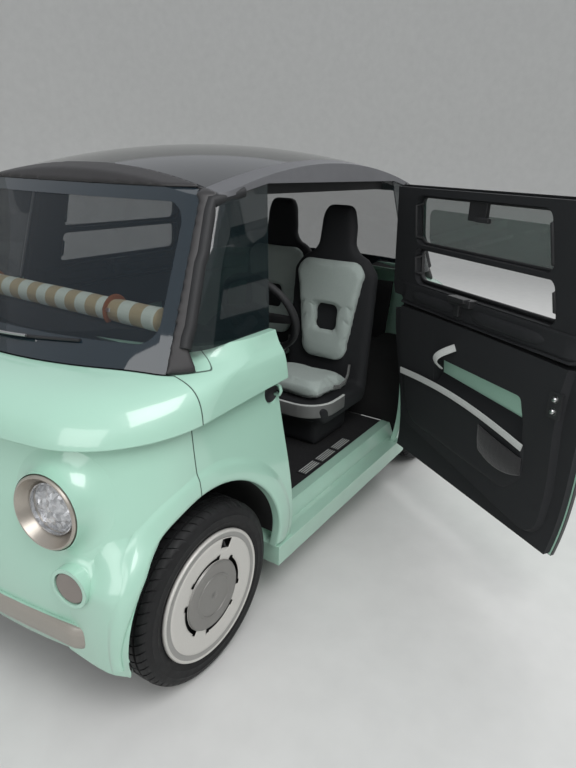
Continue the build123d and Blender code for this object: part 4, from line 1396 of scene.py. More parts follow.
@dataclass
class RoadWheel:
    """Tyre with its tread and a wheel with a slotted cover, drawn with the outer face towards +Y."""

    corners: tuple[str, ...] = ("front_left", "front_right", "rear_left", "rear_right")
    radius: float = 0.2785
    crown: float = 0.0055
    pitches: int = 58
    sipes: tuple[tuple[float, bool], ...] = ((0.0, True), (0.11, True), (0.14, False), (0.97, False))
    sipe_skew: float = 0.9
    groove_at: tuple[float, ...] = (0.015, 0.043)
    groove_half: float = 0.0036
    groove_depth: float = 0.0062
    shoulder: tuple[tuple[float, float, float], ...] = (   # place across, radius, depth of the sipes
        (0.0655, 0.2695, 0.0036), (0.0695, 0.2640, 0.0024), (0.0718, 0.2600, 0.0))
    sidewall: tuple[tuple[float, float], ...] = (
        (0.0745, 0.2525), (0.0762, 0.2455), (0.0775, 0.2440), (0.0780, 0.2425), (0.0772, 0.2410),
        (0.0775, 0.2320), (0.0768, 0.2235), (0.0772, 0.2220), (0.0760, 0.2205), (0.0738, 0.2130),
        (0.0700, 0.2050), (0.0690, 0.2020), (0.0695, 0.1985), (0.0680, 0.1955), (0.0640, 0.1935),
        (0.0617, 0.1900), (0.0617, 0.1805))
    cover: tuple[tuple[float, float, int], ...] = (   # radius, height, finish
        (0.2005, 0.0700, 0), (0.2010, 0.0765, 0), (0.1990, 0.0800, 0), (0.1960, 0.0806, 0),
        (0.1925, 0.0785, 1), (0.1860, 0.0768, 1), (0.1790, 0.0762, 1), (0.1765, 0.0780, 0),
        (0.1740, 0.0792, 0), (0.1650, 0.0786, 0), (0.1450, 0.0774, 0), (0.1300, 0.0768, 0),
        (0.1235, 0.0764, 0), (0.1190, 0.0760, 0), (0.1100, 0.0752, 0), (0.1075, 0.0748, 0),
        (0.1065, 0.0745, 2), (0.1050, 0.0785, 2), (0.1025, 0.0806, 2), (0.0850, 0.0812, 2),
        (0.0700, 0.0813, 2), (0.0680, 0.0834, 2), (0.0640, 0.0834, 2), (0.0620, 0.0811, 2),
        (0.0400, 0.0815, 2), (0.0200, 0.0815, 2), (0.0002, 0.0815, 2))
    cover_steps: int = 144
    valve_step: int = 135

    def tread_height(self, y: float) -> float:
        """Radius of the crowned tread at a place across it."""
        return self.radius - 0.0002 - self.crown * (y / 0.062) ** 4

    def half_profile(self) -> list[tuple[float, float, float]]:
        """Points from the middle of the tread to the outer bead.

        Returns:
            Place across, radius and depth of the sipes at each point.
        """
        points = [(0.0, self.tread_height(0.0), 0.0025)]
        for groove in self.groove_at:
            top = self.tread_height(groove)
            points.extend(((groove - self.groove_half - 0.001, top, 0.0025),
                           (groove - self.groove_half, top - self.groove_depth, 0.0),
                           (groove + self.groove_half, top - self.groove_depth, 0.0),
                           (groove + self.groove_half + 0.001, top, 0.004)))
        points.extend((y, self.tread_height(y), 0.0042) for y in (0.053, 0.060))
        points.extend(self.shoulder)
        points.extend((y, radius, 0.0) for y, radius in self.sidewall)
        return points

    def tyre(self) -> Shape:
        """Tyre with grooves, sipes and sidewall rings.

        Returns:
            The tyre, its outer face towards +Y.
        """
        half = self.half_profile()
        profile = [(-y, radius, cut) for y, radius, cut in reversed(half[1:])] + half
        rows = []
        for pitch in range(self.pitches):
            for share, deep in self.sipes:
                row = []
                for y, radius, cut in profile:
                    skew = self.sipe_skew * (abs(y) / 0.07) ** 2
                    angle = math.tau * (pitch + share + skew) / self.pitches
                    r = radius - (cut if deep else 0.0)
                    row.append((r * math.cos(angle), y, r * math.sin(angle)))
                rows.append(row)
        return Shape().net(rows, ring_rows=True)

    def has_metal(self, ring: int, step: int) -> bool:
        """Whether the cover is solid between two of its rings.

        Args:
            ring: number of the outer ring.
            step: step round the cover, from its top.

        Returns:
            False in a slot, its notches or the valve's window.
        """
        quarter = (step + 12) % 36
        in_slot = ring in (13, 14) and 5 <= quarter < 31
        in_notch = ring == 12 and (5 <= quarter < 8 or 28 <= quarter < 31)
        in_window = ring in (8, 9) and abs(step - self.valve_step + 0.5) < 3
        return not (in_slot or in_notch or in_window)

    def cover_sheet(self) -> Shape:
        """Slotted cover with its ring, dish and cap.

        Returns:
            The cover as one sheet.
        """
        rows = [[(r * math.sin(a), y, r * math.cos(a)) for a in turns(self.cover_steps)]
                for r, y, _ in self.cover]
        shape = Shape()
        for mark in range(3):
            shape.net(rows, ring_columns=True, mark=mark,
                      keep=lambda i, j, mark=mark: self.cover[i][2] == mark and self.has_metal(i, j))
        return shape

    def rim(self) -> Shape:
        """Steel wheel behind the cover.

        Returns:
            The wheel, its outer face towards +Y.
        """
        turned = Matrix.Rotation(math.pi / 2, 4, "X") @ Matrix.Rotation(math.pi, 4, "X")
        profile = [(0.024, -0.030), (0.060, -0.030), (0.060, 0.030), (0.163, 0.040), (0.167, -0.068),
                   (0.190, -0.068), (0.190, -0.062), (0.180, -0.062), (0.180, 0.062), (0.192, 0.062),
                   (0.192, 0.068), (0.174, 0.068), (0.168, 0.055), (0.060, 0.048), (0.024, 0.048)]
        return Shape().lathe(profile, 72, place=turned, closed=True)

    def valve(self) -> Shape:
        """Valve stem standing in its window.

        Returns:
            The stem.
        """
        angle = math.tau * self.valve_step / self.cover_steps
        base = Vector((0.168 * math.sin(angle), 0.060, 0.168 * math.cos(angle)))
        tip = Vector((0.148 * math.sin(angle), 0.077, 0.148 * math.cos(angle)))
        return Shape().sweep((base, (base + tip) / 2, tip), ring_section(0.004, 0.004, steps=10))

    def build(self) -> None:
        """Put a tyre and a wheel at each corner."""
        tyre, cover, rim, valve = self.tyre(), self.cover_sheet(), self.rim(), self.valve()
        for name in self.corners:
            pin = Vector(joint_named("spin_" + name)["pos_m"])
            turn = Matrix.Rotation(0 if name.endswith("left") else math.pi, 4, "Z")
            place = Matrix.Translation(pin) @ turn
            body = "wheel_" + name
            make(f"tyre_{name}_tread", tyre, (TYRE,), body, "tyre_rubber", place, sharp=38.0,
                 replaces=("tyre_" + name,))
            make(f"rim_{name}", rim, (BLACK_STEEL,), body, "wheel_silver", place,
                 replaces=("wheel_" + name,))
            make(f"cover_{name}", cover, (COVER_SILVER, COVER_RING, COVER_GREY), body, "wheel_silver", place,
                 sharp=40.0, thick=0.0016)
            make(f"valve_{name}", valve, (BLACK_TRIM,), body, "tyre_rubber", place)


@dataclass
class Door:
    """Lining details, latch and fittings of one door, drawn on the closed left door."""

    side: Side
    window_low: float = 1.045
    window_bar: float = 1.183
    window_top: float = 1.368
    window_corner: float = 0.036
    half_bar: float = 0.011
    half_low: float = 0.352
    half_top: float = 0.318
    solid_x: float = -0.30
    ridges: tuple[tuple[float, float, float, float], ...] = (   # two ends, half height, rise
        (-0.375, -0.10, 0.020, 0.015), (-0.02, 0.33, 0.022, 0.017))
    ridge_z: float = 0.985
    strap_ends: tuple[float, float] = (-0.41, 0.30)
    loop_ends: tuple[tuple[float, float], tuple[float, float]] = ((-0.064, 0.849), (-0.142, 0.745))
    panel_ends: tuple[float, float] = (-0.412, 0.304)
    pouch_ends: tuple[float, float] = (0.085, 0.300)
    pocket_stops: tuple[float, ...] = (-0.188, -0.05, 0.09, 0.19, 0.288)
    belt_ends: tuple[float, float] = (-0.474, 0.492)
    belt_rise: tuple[float, float] = (0.950, 1.028)
    latch_at: tuple[float, float] = (0.408, 0.805)
    flap_z: float = 1.325

    def __post_init__(self) -> None:
        """Find the door's body, place and inner face."""
        self.body = "door_" + self.side.name.lower()
        self.place = door_place(self.side)
        self.lining = surface_of((self.body + "_lining",), self.place)
        self.skin = surface_of((self.body + "_skin",), self.place)

    def inner(self, x: float, z: float, lift: float = 0.0) -> Vector:
        """Point on the lining's inner face.

        Args:
            x: place along the door.
            z: height.
            lift: how far the point is raised into the cabin.

        Returns:
            The point, at the solid board's depth where the lining is open.
        """
        for along in (x, self.solid_x):
            hit = self.lining.ray_cast(Vector((along, 0.1, z)), Vector((0, 1, 0)))[0]
            if hit is not None:
                return Vector((x, hit.y - lift, z))
        return Vector((x, self.lining.find_nearest(Vector((x, 0.62, z)))[0].y - lift, z))

    def ridge(self, low_x: float, high_x: float, half: float, rise: float) -> Shape:
        """Soft raised bar along the lining.

        Args:
            low_x: its hinge end.
            high_x: its free end.
            half: half its height.
            rise: how far it stands out.

        Returns:
            The bar.
        """
        path = [self.inner(low_x + (high_x - low_x) * t, self.ridge_z, rise * 0.2) for t in shares(12)]
        return Shape().sweep(path, ring_section(half, rise, 2.6), up=(0, -1, 0),
                             scale=lambda t: math.sqrt(max(0.04, 1 - (2 * t - 1) ** 6)))

    def knob(self) -> Shape:
        """Window catch that lies over the foot of the window, with its finger below.

        Returns:
            The catch.
        """
        x, y, z = self.inner(-0.055, self.ridge_z)
        shape = Shape().block((x - 0.056, y - 0.034, z + 0.024), (x + 0.058, y + 0.004, z + 0.052))
        shape.block((x - 0.046, y - 0.052, z + 0.040), (x + 0.046, y - 0.020, z + 0.056))
        return shape.block((x - 0.030, y - 0.026, z - 0.018), (x - 0.004, y + 0.004, z + 0.026))

    def pull_loop(self) -> Shape:
        """Grey pull loop above the hinge end of the pocket.

        Returns:
            The loop.
        """
        top, foot = (self.inner(*end) for end in self.loop_ends)
        path = []
        for t in shares(12):
            bow = math.sin(math.pi * t)
            path.append(top.lerp(foot, t) - Vector((0.022 * bow, 0.038 * bow + 0.003, 0.0)))
        return Shape().sweep(path, ring_section(0.014, 0.0035, 3.0, 12), up=(0, -1, 0))

    def strap_height(self, x: float) -> float:
        """Height of the pale band at a place along the door."""
        t = max(0.0, (x - self.strap_ends[0]) / (self.strap_ends[1] - self.strap_ends[0]))
        return 0.646 + 0.018 * math.sin(math.pi * t) - 0.040 * t ** 2.2

    def strap(self) -> Shape:
        """Pale band along the top of the lower panel.

        Returns:
            The band.
        """
        low, high = self.strap_ends
        path = [self.inner(x, self.strap_height(x), 0.0095)
                for x in (low + (high - low) * t for t in shares(24))]
        return Shape().sweep(path, ring_section(0.0135, 0.0022, 4.0, 12), up=(0, -1, 0))

    def lower_panel(self) -> Shape:
        """Padded panel under the band, which closes the foot of the pocket.

        Returns:
            The panel as a sheet.
        """
        low, high = self.panel_ends

        def point(t: float, s: float) -> Vector:
            """Point of the panel.

            Args:
                t: share of the way down.
                s: share of the way along.

            Returns:
                The point.
            """
            x = low + (high - low) * s
            foot = 0.430 - 0.030 * s + 0.10 * max(0.0, abs(2 * s - 1) - 0.7) ** 2 / 0.09
            z = self.strap_height(x) + (foot - self.strap_height(x)) * t
            puff = max(0.0, math.sin(math.pi * (0.08 + 0.92 * t)) * math.sin(math.pi * s)) ** 0.35
            return self.inner(x, z, 0.0105 * puff - 0.002)

        return Shape().net(sheet_rows(16, 40, point))

    def latch_plate(self) -> Shape:
        """Latch plate with two studs beside the board, near the free edge.

        Returns:
            The plate, with the studs in the second finish.
        """
        x, y, z = self.inner(*self.latch_at)
        shape = Shape().block((x - 0.025, y - 0.004, z - 0.042), (x + 0.023, y + 0.004, z + 0.042))
        stud = [(0.0, 0.011), (0.006, 0.010), (0.0085, 0.006), (0.006, 0.004), (0.006, 0.0), (0.012, 0.0),
                (0.012, -0.002)]
        for height in (-0.019, 0.020):
            place = Matrix.Translation((x, y - 0.004, z + height)) @ Matrix.Rotation(math.pi / 2, 4, "X")
            shape.lathe(stud, 24, 1, place)
        return shape

    def pocket_floor(self) -> Shape:
        """Dark floor that slopes from the band to the door pressing, inside the pocket.

        Returns:
            The floor as a sheet.
        """
        skin = self.skin.ray_cast(Vector((0.1, 0.3, 0.69)), Vector((0, 1, 0)))[0]
        face = self.inner(self.solid_x, 0.65).y + 0.003
        rows = []
        for t in shares(6):
            row = []
            for x in self.pocket_stops:
                front, back = self.strap_height(x) - 0.004, 0.704 - 0.022 * (x + 0.19) / 0.48
                row.append((x, face + (skin.y - 0.003 - face) * t, front + (back - front) * t))
            rows.append(row)
        return Shape().net(rows)

    def belt_moulding(self) -> Shape:
        """Soft shoulder that leads from the board up to the window frame.

        Returns:
            The shoulder as a sheet.
        """
        (start, end), (low_z, high_z) = self.belt_ends, self.belt_rise

        def point(t: float, s: float) -> Point:
            """Point of the shoulder.

            Args:
                t: share of the way up.
                s: share of the way along.

            Returns:
                The point.
            """
            x = start + (end - start) * s
            low, high = self.inner(x, low_z, 0.0022), self.inner(x, high_z + 0.002, 0.0012)
            return x, low.y + (high.y - low.y) * eased(t, 0.45, 1.0) ** 1.5, low_z + (high_z - low_z) * t

        return Shape().net(sheet_rows(8, 40, point))

    def pocket_pouch(self) -> Shape:
        """Quilted net pouch on the lower panel at the free end.

        Returns:
            The pouch as a sheet.
        """
        low, high = self.pouch_ends

        def point(t: float, s: float) -> Vector:
            """Point of the pouch.

            Args:
                t: share of the way down.
                s: share of the way along.

            Returns:
                The point.
            """
            x = low + (high - low) * s
            top, foot = self.strap_height(x) - 0.040, 0.470 + 0.030 * (2 * s - 1) ** 2
            quilt = 0.0022 * abs(math.sin(9 * math.pi * s)) * abs(math.sin(5 * math.pi * t))
            bulge = 0.022 * math.sin(math.pi * s) ** 0.5 * math.sin(math.pi * (0.15 + 0.85 * t))
            return self.inner(x, top + (foot - top) * t, 0.006 + bulge + quilt)

        return Shape().net(sheet_rows(12, 24, point))

    def flap_latch(self) -> Shape:
        """Black latch at the top middle of the raised flap.

        Returns:
            The latch.
        """
        glass = surface_of((self.body + "_glass",), self.place)
        hit = glass.ray_cast(Vector((0.0, 0.1, self.flap_z)), Vector((0, 1, 0)))[0]
        shape = Shape().block((-0.052, hit.y - 0.017, 1.304), (0.034, hit.y - 0.001, 1.368))
        return shape.block((0.0, hit.y - 0.031, 1.304), (0.062, hit.y - 0.015, 1.320))

    def window_seal(self, low: float, high: float, name: str) -> None:
        """Rubber seal round one window opening, in the lining.

        Args:
            low: foot of the opening.
            high: its top.
            name: first part of the piece's name.
        """
        slope = (self.half_top - self.half_low) / (self.window_top - self.window_low)
        path = []
        for side, z in rounded_outline(1.0, (high - low) / 2, self.window_corner, 6,
                                       (0.0, (low + high) / 2)):
            half = self.half_low + (z - self.window_low) * slope
            x = math.copysign(half + 0.001 - (1.0 - abs(side)), side)
            path.append((x, self.inner(x * 1.012, z).y, z))
        shape = Shape().sweep(path, ring_section(0.0055, 0.006, 2.4, 10), up=(0, 1, 0), ring=True)
        make(f"{name}_{self.body}", shape, (BLACK_TRIM,), self.body, "trim_black", self.place, sharp=60.0)

    def build(self) -> None:
        """Dress the door and add its fittings."""
        dress_node(self.body + "_lining", SOFT_TRIM)
        dress_node(self.body + "_glass", DOOR_GLASS)
        trim = {"body": self.body, "slot": "trim_black", "place": self.place}
        ridges = Shape()
        for ridge in self.ridges:
            ridges.join(self.ridge(*ridge))
        fittings = (
            ("ridges", ridges, (SOFT_TRIM,), {"sharp": 60.0}),
            ("catch", self.knob(), (BLACK_TRIM,), {"bevel": 0.004}),
            ("pull_loop", self.pull_loop(), (STRAP_AND_RIM_HIGHLIGHT,), {"sharp": 60.0}),
            ("strap", self.strap(), (STRAP_AND_RIM_HIGHLIGHT,), {"sharp": 60.0}),
            ("latch", self.latch_plate(), (BLACK_TRIM, STEEL), {"sharp": 30.0}),
            ("lower_panel", self.lower_panel(), (SOFT_TRIM,), {"sharp": 60.0, "thick": 0.003}),
            ("pocket_floor", self.pocket_floor(), (SOFT_TRIM,), {"sharp": 60.0}),
            ("belt", self.belt_moulding(), (SOFT_TRIM,), {"sharp": 60.0, "thick": 0.002}),
            ("pouch", self.pocket_pouch(), (BLACK_CLOTH,), {"sharp": 60.0, "thick": 0.002}))
        for name, shape, finishes, look in fittings:
            make(f"{self.body}_{name}", shape, finishes, **trim, **look)
        self.window_seal(self.window_bar + self.half_bar, self.window_top, "upper_seal")
        self.window_seal(self.window_low, self.window_bar - self.half_bar, "lower_seal")
        if self.side is Side.LEFT:
            make("flap_latch", self.flap_latch(), (BLACK_TRIM,), **trim, bevel=0.003)


@dataclass
class Mirrors:
    """Oval mirrors on the doors."""

    place: tuple[float, float, float] = (0.3835, 0.690, 1.325)
    half_wide: float = 0.052
    half_high: float = 0.070
    bulge: tuple[tuple[float, float], ...] = ((1.0, 0.0), (0.985, 0.0012), (0.6, 0.0016), (0.02, 0.0018))

    def build(self) -> None:
        """Dress the heads and set the glass in them."""
        x, y, z = self.place
        oval = ring_section(self.half_wide, self.half_high, steps=40)
        rows = [[(x - depth, y + a * share, z + b * share) for a, b in oval] for share, depth in self.bulge]
        glass = Shape().net(rows, ring_columns=True).cap(rows[-1])
        places = {Side.LEFT: door_place(Side.LEFT), Side.RIGHT: CAR @ Matrix.Diagonal((1, -1, 1, 1))}
        for side, place in places.items():
            name = side.name.lower()
            dress_node("mirror_" + name, BLACK_TRIM)
            make("mirror_glass_" + name, glass, (MIRROR_SILVER,), "door_" + name, "lamp_silver", place)


@dataclass
class Seat:
    """One seat: two upholstered pads, with the moulding round its front and its buckle."""

    name: str
    place: tuple[float, float, float]
    half_cushion: float = 0.176
    cushion_middle: tuple[float, float] = (-0.192, 0.556)
    cushion_half: tuple[float, float] = (0.150, 0.030)
    back_foot: tuple[float, float, float] = (-0.3945, 0.0, 0.51)
    back_lean: float = math.atan2(0.07, 0.79)
    back_widths: tuple[tuple[float, float], ...] = (
        (0.09, 0.118), (0.30, 0.132), (0.44, 0.182), (0.565, 0.172))
    back_section: tuple[tuple[float, float], ...] = (   # share of the way to the window, height
        (0.0, 0.004), (0.0, 0.026), (0.06, 0.034), (0.5, 0.037), (0.94, 0.034), (1.0, 0.026), (1.0, 0.004))
    buckle_path: tuple[tuple[float, float, float], ...] = (
        (-0.25, 0.212, 0.655), (-0.24, 0.213, 0.615), (-0.215, 0.214, 0.585), (-0.17, 0.214, 0.577),
        (-0.12, 0.213, 0.590))
    fill: float = 0.7

    def half_back(self, height: float) -> float:
        """Half width of the back pad.

        Args:
            height: height along the pad.

        Returns:
            The half width there.
        """
        for (low, wide), (high, wider) in zip(self.back_widths, self.back_widths[1:]):
            if height <= high:
                return wide + (wider - wide) * eased(height, low, high)
        return self.back_widths[-1][1]

    def cushion(self) -> Shape:
        """Closed form of the seat cushion before it swells.

        Returns:
            The form.
        """
        x, z = self.cushion_middle
        long, tall = self.cushion_half
        rows = []
        for share in shares(24):
            t = 2 * share - 1
            ring = ring_section(long * (1 - 0.10 * abs(t) ** 6), tall * (1 - 0.5 * abs(t) ** 8), 4.5, 32)
            rows.append([(x + a, t * self.half_cushion, z + b + 0.1 * a) for a, b in ring])
        return Shape().net(rows, ring_columns=True).cap(rows[0]).cap(rows[-1])

    def back(self) -> Shape:
        """Closed form of the back pad before it swells, with its rectangular window.

        Returns:
            The form.
        """
        base = Matrix.Translation(self.back_foot) @ Matrix.Rotation(-self.back_lean, 4, "Y")
        outer = [(math.copysign(self.half_back(b) - (1.0 - abs(a)), a), b)
                 for a, b in rounded_outline(1.0, 0.2375, 0.060, 8, (0.0, 0.3275))]
        inner = rounded_outline(0.060, 0.057, 0.030, 8, (0.0, 0.290))
        rows = [[base @ Vector((height, ya + (yb - ya) * share, za + (zb - za) * share))
                 for (ya, za), (yb, zb) in zip(outer, inner)] for share, height in self.back_section]
        return Shape().net(rows, ring_rows=True, ring_columns=True)

    def valance(self) -> Shape:
        """Grey moulding round the front of the seat, with a pale rim along its top that is a painted
        highlight.

        Returns:
            The moulding, with the pale rim, a painted highlight, in the second finish.
        """
        plan = [(-0.21, 0.217), (-0.16, 0.218)]
        plan.extend((-0.12 + 0.129 * math.sin(a), 0.088 + 0.130 * math.cos(a))
                    for a in (math.pi / 2 * t for t in shares(10)))
        plan.extend([(x, -y) for x, y in reversed(plan)])
        shape = Shape().sweep([(x, y, 0.497) for x, y in plan], ring_section(0.0035, 0.028, 5.0, 16))
        # pale rim along the moulding's top edge: a painted highlight, not a part of its own colour
        return shape.sweep([(x - 0.003, y * 0.985, 0.526) for x, y in plan],
                           ring_section(0.006, 0.0025, 3.0, 12), mark=1)

    def pad(self, part: str, form: Shape, node: str, cap: float) -> None:
        """Make one pad, swelled by cloth under pressure.

        Args:
            part: last part of its name.
            form: its closed form.
            node: the node that it stands for.
            cap: how far a point may move.
        """
        piece = make(f"{self.name}_{part}", form, (PAD_CLOTH,), "car_body", "seat_fabric",
                     CAR @ Matrix.Translation(self.place), sharp=180.0, replaces=(node,))
        swell(piece, cap)

    def build(self) -> None:
        """Make the moulding, the buckle and the pads."""
        trim = {"body": "car_body", "slot": "trim_black", "place": CAR @ Matrix.Translation(self.place)}
        make(self.name + "_valance", self.valance(), (SIDE_VALANCE, STRAP_AND_RIM_HIGHLIGHT), **trim, sharp=60.0)
        buckle = Shape().sweep(self.buckle_path, ring_section(0.004, 0.009, 3.0, 12), up=(0.5, 0, 1))
        make(self.name + "_buckle", buckle, (SIDE_VALANCE,), **trim, sharp=60.0)
        self.pad("cushion", self.cushion(), "seat_cushions", 0.012)
        self.pad("back", self.back(), "seat_back_pads", 0.010)


def swell(piece: bpy.types.Object, cap: float, voxel: float = 0.006, pressure: float = 4.0) -> None:
    """Fill a closed form like a stuffed pad.

    Args:
        piece: the piece, whose mesh is replaced.
        cap: how far a point may move, in metres.
        voxel: size of the cloth's mesh.
        pressure: pressure inside it.
    """
    grid = piece.modifiers.new("grid", "REMESH")
    grid.mode = "VOXEL"
    grid.voxel_size = voxel
    bpy.context.view_layer.objects.active = piece
    bpy.ops.object.modifier_apply(modifier="grid")
    start = [vertex.co.copy() for vertex in piece.data.vertices]
    cloth = piece.modifiers.new("cloth", "CLOTH")
    cloth.settings.use_pressure = True
    cloth.settings.uniform_pressure_force = pressure
    cloth.settings.effector_weights.gravity = 0
    for step in range(1, 21):
        bpy.context.scene.frame_set(step)
    swollen = piece.evaluated_get(bpy.context.evaluated_depsgraph_get()).data
    moved = [vertex.co.copy() for vertex in swollen.vertices]
    piece.modifiers.remove(cloth)
    bpy.context.scene.frame_set(1)
    for vertex, old, new in zip(piece.data.vertices, start, moved):
        step = new - old
        if step.length > cap:
            step *= cap / step.length
        vertex.co = old + step
    piece.data.polygons.foreach_set("use_smooth", [True] * len(piece.data.polygons))
    piece.modifiers.new("smooth", "SUBSURF").render_levels = 1
    log.info("%s swelled", piece.name)


@dataclass
class Steering:
    """Steering wheel with a gripped rim, three spokes and a soft hub."""

    tilt: float = math.radians(25)
    place: tuple[float, float, float] = (0.130, 0.300, 0.925)
    rim: float = 0.165
    grip: float = 0.0138
    hub: tuple[tuple[float, float], ...] = (
        (0.0, 0.004), (0.035, 0.002), (0.052, -0.006), (0.058, -0.016), (0.054, -0.040), (0.0, -0.044))
    spokes: tuple[float, ...] = (0.0, 90.0, 180.0)

    def wheel(self) -> Shape:
        """Rim, hub and spokes about the wheel's own axis.

        Returns:
            The wheel.
        """
        rows = []
        for angle in turns(72):
            grip = self.grip * (1 + 0.06 * math.cos(4 * angle))
            rows.append([((self.rim + a) * math.cos(angle), (self.rim + a) * math.sin(angle), b)
                         for a, b in ring_section(grip, grip * 1.08, 2.0, 16)])
        shape = Shape().net(rows, ring_rows=True, ring_columns=True).lathe(self.hub, 48)
        for angle in map(math.radians, self.spokes):
            path = [(r * math.cos(angle), r * math.sin(angle), -0.016 + 0.012 * (r / self.rim) ** 2)
                    for r in (0.045, 0.075, 0.105, 0.135, self.rim - 0.004)]
            shape.sweep(path, ring_section(0.021, 0.006, 3.0, 14), scale=lambda t: 1.15 - 0.3 * t)
        return shape

    def build(self) -> None:
        """Set the wheel on its column."""
        local = axes_at(self.place, (-math.cos(self.tilt), 0, math.sin(self.tilt)), (0, 1, 0))
        make("steering_grip", self.wheel(), (BLACK_TRIM,), "steering_wheel", "trim_black", CAR @ local,
             sharp=50.0, replaces=("steering_wheel",))
        dress_node("steering_column", BLACK_TRIM)


@dataclass
class Cabin:
    """Dashboard, striped roll, seats, pedals and floor."""

    roll_place: tuple[float, float, float] = (0.822, 0.0, 1.0653)
    roll_radius: float = 0.034
    roll_half: float = 0.498
    roll_foot: float = -0.0297
    roll_end: float = 0.012
    roll_fill: float = 0.9
    strap_at: tuple[float, ...] = (-0.30, 0.30)
    strap_arc: tuple[float, float] = (-55.0, 235.0)
    seats: tuple[tuple[float, float, float], ...] = ((0.0, 0.300, 0.0), (-0.235, -0.166, 0.0))
    neck: float = 1.075
    crown: float = 1.20
    head_top: float = 1.315
    head_x: float = -0.475
    head_lean: float = 0.089
    pedal_places: tuple[tuple[float, float], ...] = ((0.24, 0.025), (0.345, 0.036))   # across, half width
    plate_start: float = -0.235
    plate_pitch: float = 0.132
    plate_edges: tuple[float, float] = (0.509, 0.552)

    def roll_rows(self) -> list[list[Vector]]:
        """Rings of the soft roll, a little slack between its straps.

        Returns:
            The rings from one end to the other.
        """
        x, _, z = self.roll_place
        rows = []
        for share in shares(80):
            y = self.roll_half * (2 * share - 1)
            held = min(abs(y - strap) for strap in self.strap_at)
            size = self.roll_radius * (1.0 - 0.07 * math.exp(-(held / 0.02) ** 2) + 0.01 * math.sin(41 * y))
            end = min(1.0, (self.roll_half - abs(y)) / self.roll_end)
            size *= math.sqrt(max(0.0004, 1 - (1 - end) ** 2))
            ring = ((size * math.cos(angle), size * math.sin(angle)) for angle in turns(28))
            rows.append([Vector((x + a, y, z + max(b, self.roll_foot))) for a, b in ring])
        return rows

    def roll(self) -> None:
        """Striped roll with two buckled straps."""
        rows = self.roll_rows()
        shape = Shape().net(rows, ring_columns=True).cap(rows[0]).cap(rows[-1])
        canvas = make("striped_roll", shape, (ROLL_CANVAS,), "car_body", "roll_stripe", sharp=180.0,
                      replaces=("dash_roll",))
        straps = Shape()
        x, _, z = self.roll_place
        tight = self.roll_radius * 0.985
        low, high = self.strap_arc
        for y in self.strap_at:
            path = [(x + tight * math.cos(a), y, z + tight * math.sin(a))
                    for a in (math.radians(low + (high - low) * t) for t in shares(30))]
            straps.sweep(path, ring_section(0.0125, 0.0016, 4.0, 12), up=(0, 1, 0))
            straps.sweep(path[6:9], ring_section(0.002, 0.016, 3.0, 12), up=(0, 1, 0), mark=1)
        make("roll_straps", straps, (TAN_LEATHER, STEEL), "car_body", "roll_stripe", sharp=60.0)

    def pedals(self) -> None:
        """Two pedals under the dash."""
        shape = Shape()
        for y, wide in self.pedal_places:
            shape.block((0.586, y - wide, 0.40), (0.594, y + wide, 0.47))
            shape.sweep(((0.594, y, 0.45), (0.62, y, 0.55), (0.66, y, 0.66)), ring_section(0.007, 0.007))
        make("pedals", shape, (BLACK_TRIM,), "car_body", "trim_black", bevel=0.003)

    def tread_plates(self) -> None:
        """Three ribbed plates along the floor beside each door."""
        shape = Shape()
        for side in (1, -1):
            low, high = sorted(side * edge for edge in self.plate_edges)
            for k in range(3):
                x = self.plate_start + self.plate_pitch * k
                shape.block((x, low, 0.3021), (x + 0.120, high, 0.3060))
                for rib in range(4):
                    y = low + 0.0055 + 0.0098 * rib
                    shape.block((x + 0.006, y, 0.3058), (x + 0.114, y + 0.0034, 0.3086), mark=1)
        make("tread_plates", shape, (BLACK_TRIM, TREAD_PALE), "car_body", "trim_black", bevel=0.0008)

    def headrest(self, point: Vector) -> Vector:
        """Narrow and round the headrests of the seat mouldings.

        Args:
            point: a point of the mouldings, in the car's coordinates.

        Returns:
            Its new place.
        """
        seat = min((Vector(place) for place in self.seats), key=lambda place: abs(point.y - place.y))
        local = point - seat
        rise = eased(local.z, self.neck, self.neck + 0.07)
        crown = max(0.0, (local.z - self.crown) / (self.head_top - self.crown)) ** 2.4
        wide = (1.0 - 0.20 * rise) * math.sqrt(max(0.1, 1.0 - 0.62 * crown))
        deep = 1.0 + (math.sqrt(max(0.1, 1.0 - 0.45 * crown)) - 1.0) * rise
        middle = self.head_x - self.head_lean * (local.z - self.crown)
        return seat + Vector((middle + (local.x - middle) * deep, local.y * wide, local.z))

    def build(self) -> None:
        """Dress the cabin and add its pieces."""
        dress_node("dashboard", SOFT_TRIM)
        dress_node("floor_pan", CARPET)
        softened("seat_shells", "seat_mouldings", SOFT_TRIM, 0.008, 60, "car_body", 0.006,
                 self.headrest)
        for name, place in zip(("driver_seat", "passenger_seat"), self.seats):
            Seat(name, place).build()
        self.roll()
        self.pedals()
        self.tread_plates()


@dataclass
class Wiper:
    """Wiper with its blade along the foot of the windscreen."""

    low_end: tuple[float, float] = (-0.060, 0.992)
    high_end: tuple[float, float] = (0.330, 1.016)
    arm_steps: int = 10

    def build(self) -> None:
        """Lay the blade and the arm on the glass."""
        glass = surface_of(("screens",), CAR)
        blade, arm = [], []
        for t in shares(14):
            y, z = (low + (high - low) * t for low, high in zip(self.low_end, self.high_end))
            x = glass.ray_cast(Vector((2.0, y, z)), Vector((-1, 0, 0)))[0].x
            blade.append(Vector((x + 0.004, y, z)))
            arm.append(Vector((x + 0.014 + 0.010 * math.sin(math.pi * t), y - 0.02, z + 0.014 * (1 - t))))
        shape = Shape().sweep(blade, ring_section(0.0035, 0.007, 3.0, 10), up=(1, 0, 0))
        shape.sweep(arm[:self.arm_steps], ring_section(0.004, 0.0045, 2.4, 10), up=(1, 0, 0), mark=1)
        shape.lathe([(0.0, 0.016), (0.010, 0.014), (0.013, 0.004), (0.013, -0.006)], 24, 0,
                    axes_at(arm[0], (1, 0, 0.6), (0, 1, 0)))
        make("wiper_arm", shape, (BLACK_TRIM, STEEL), "car_body", "trim_black", sharp=50.0,
             replaces=("wiper",))


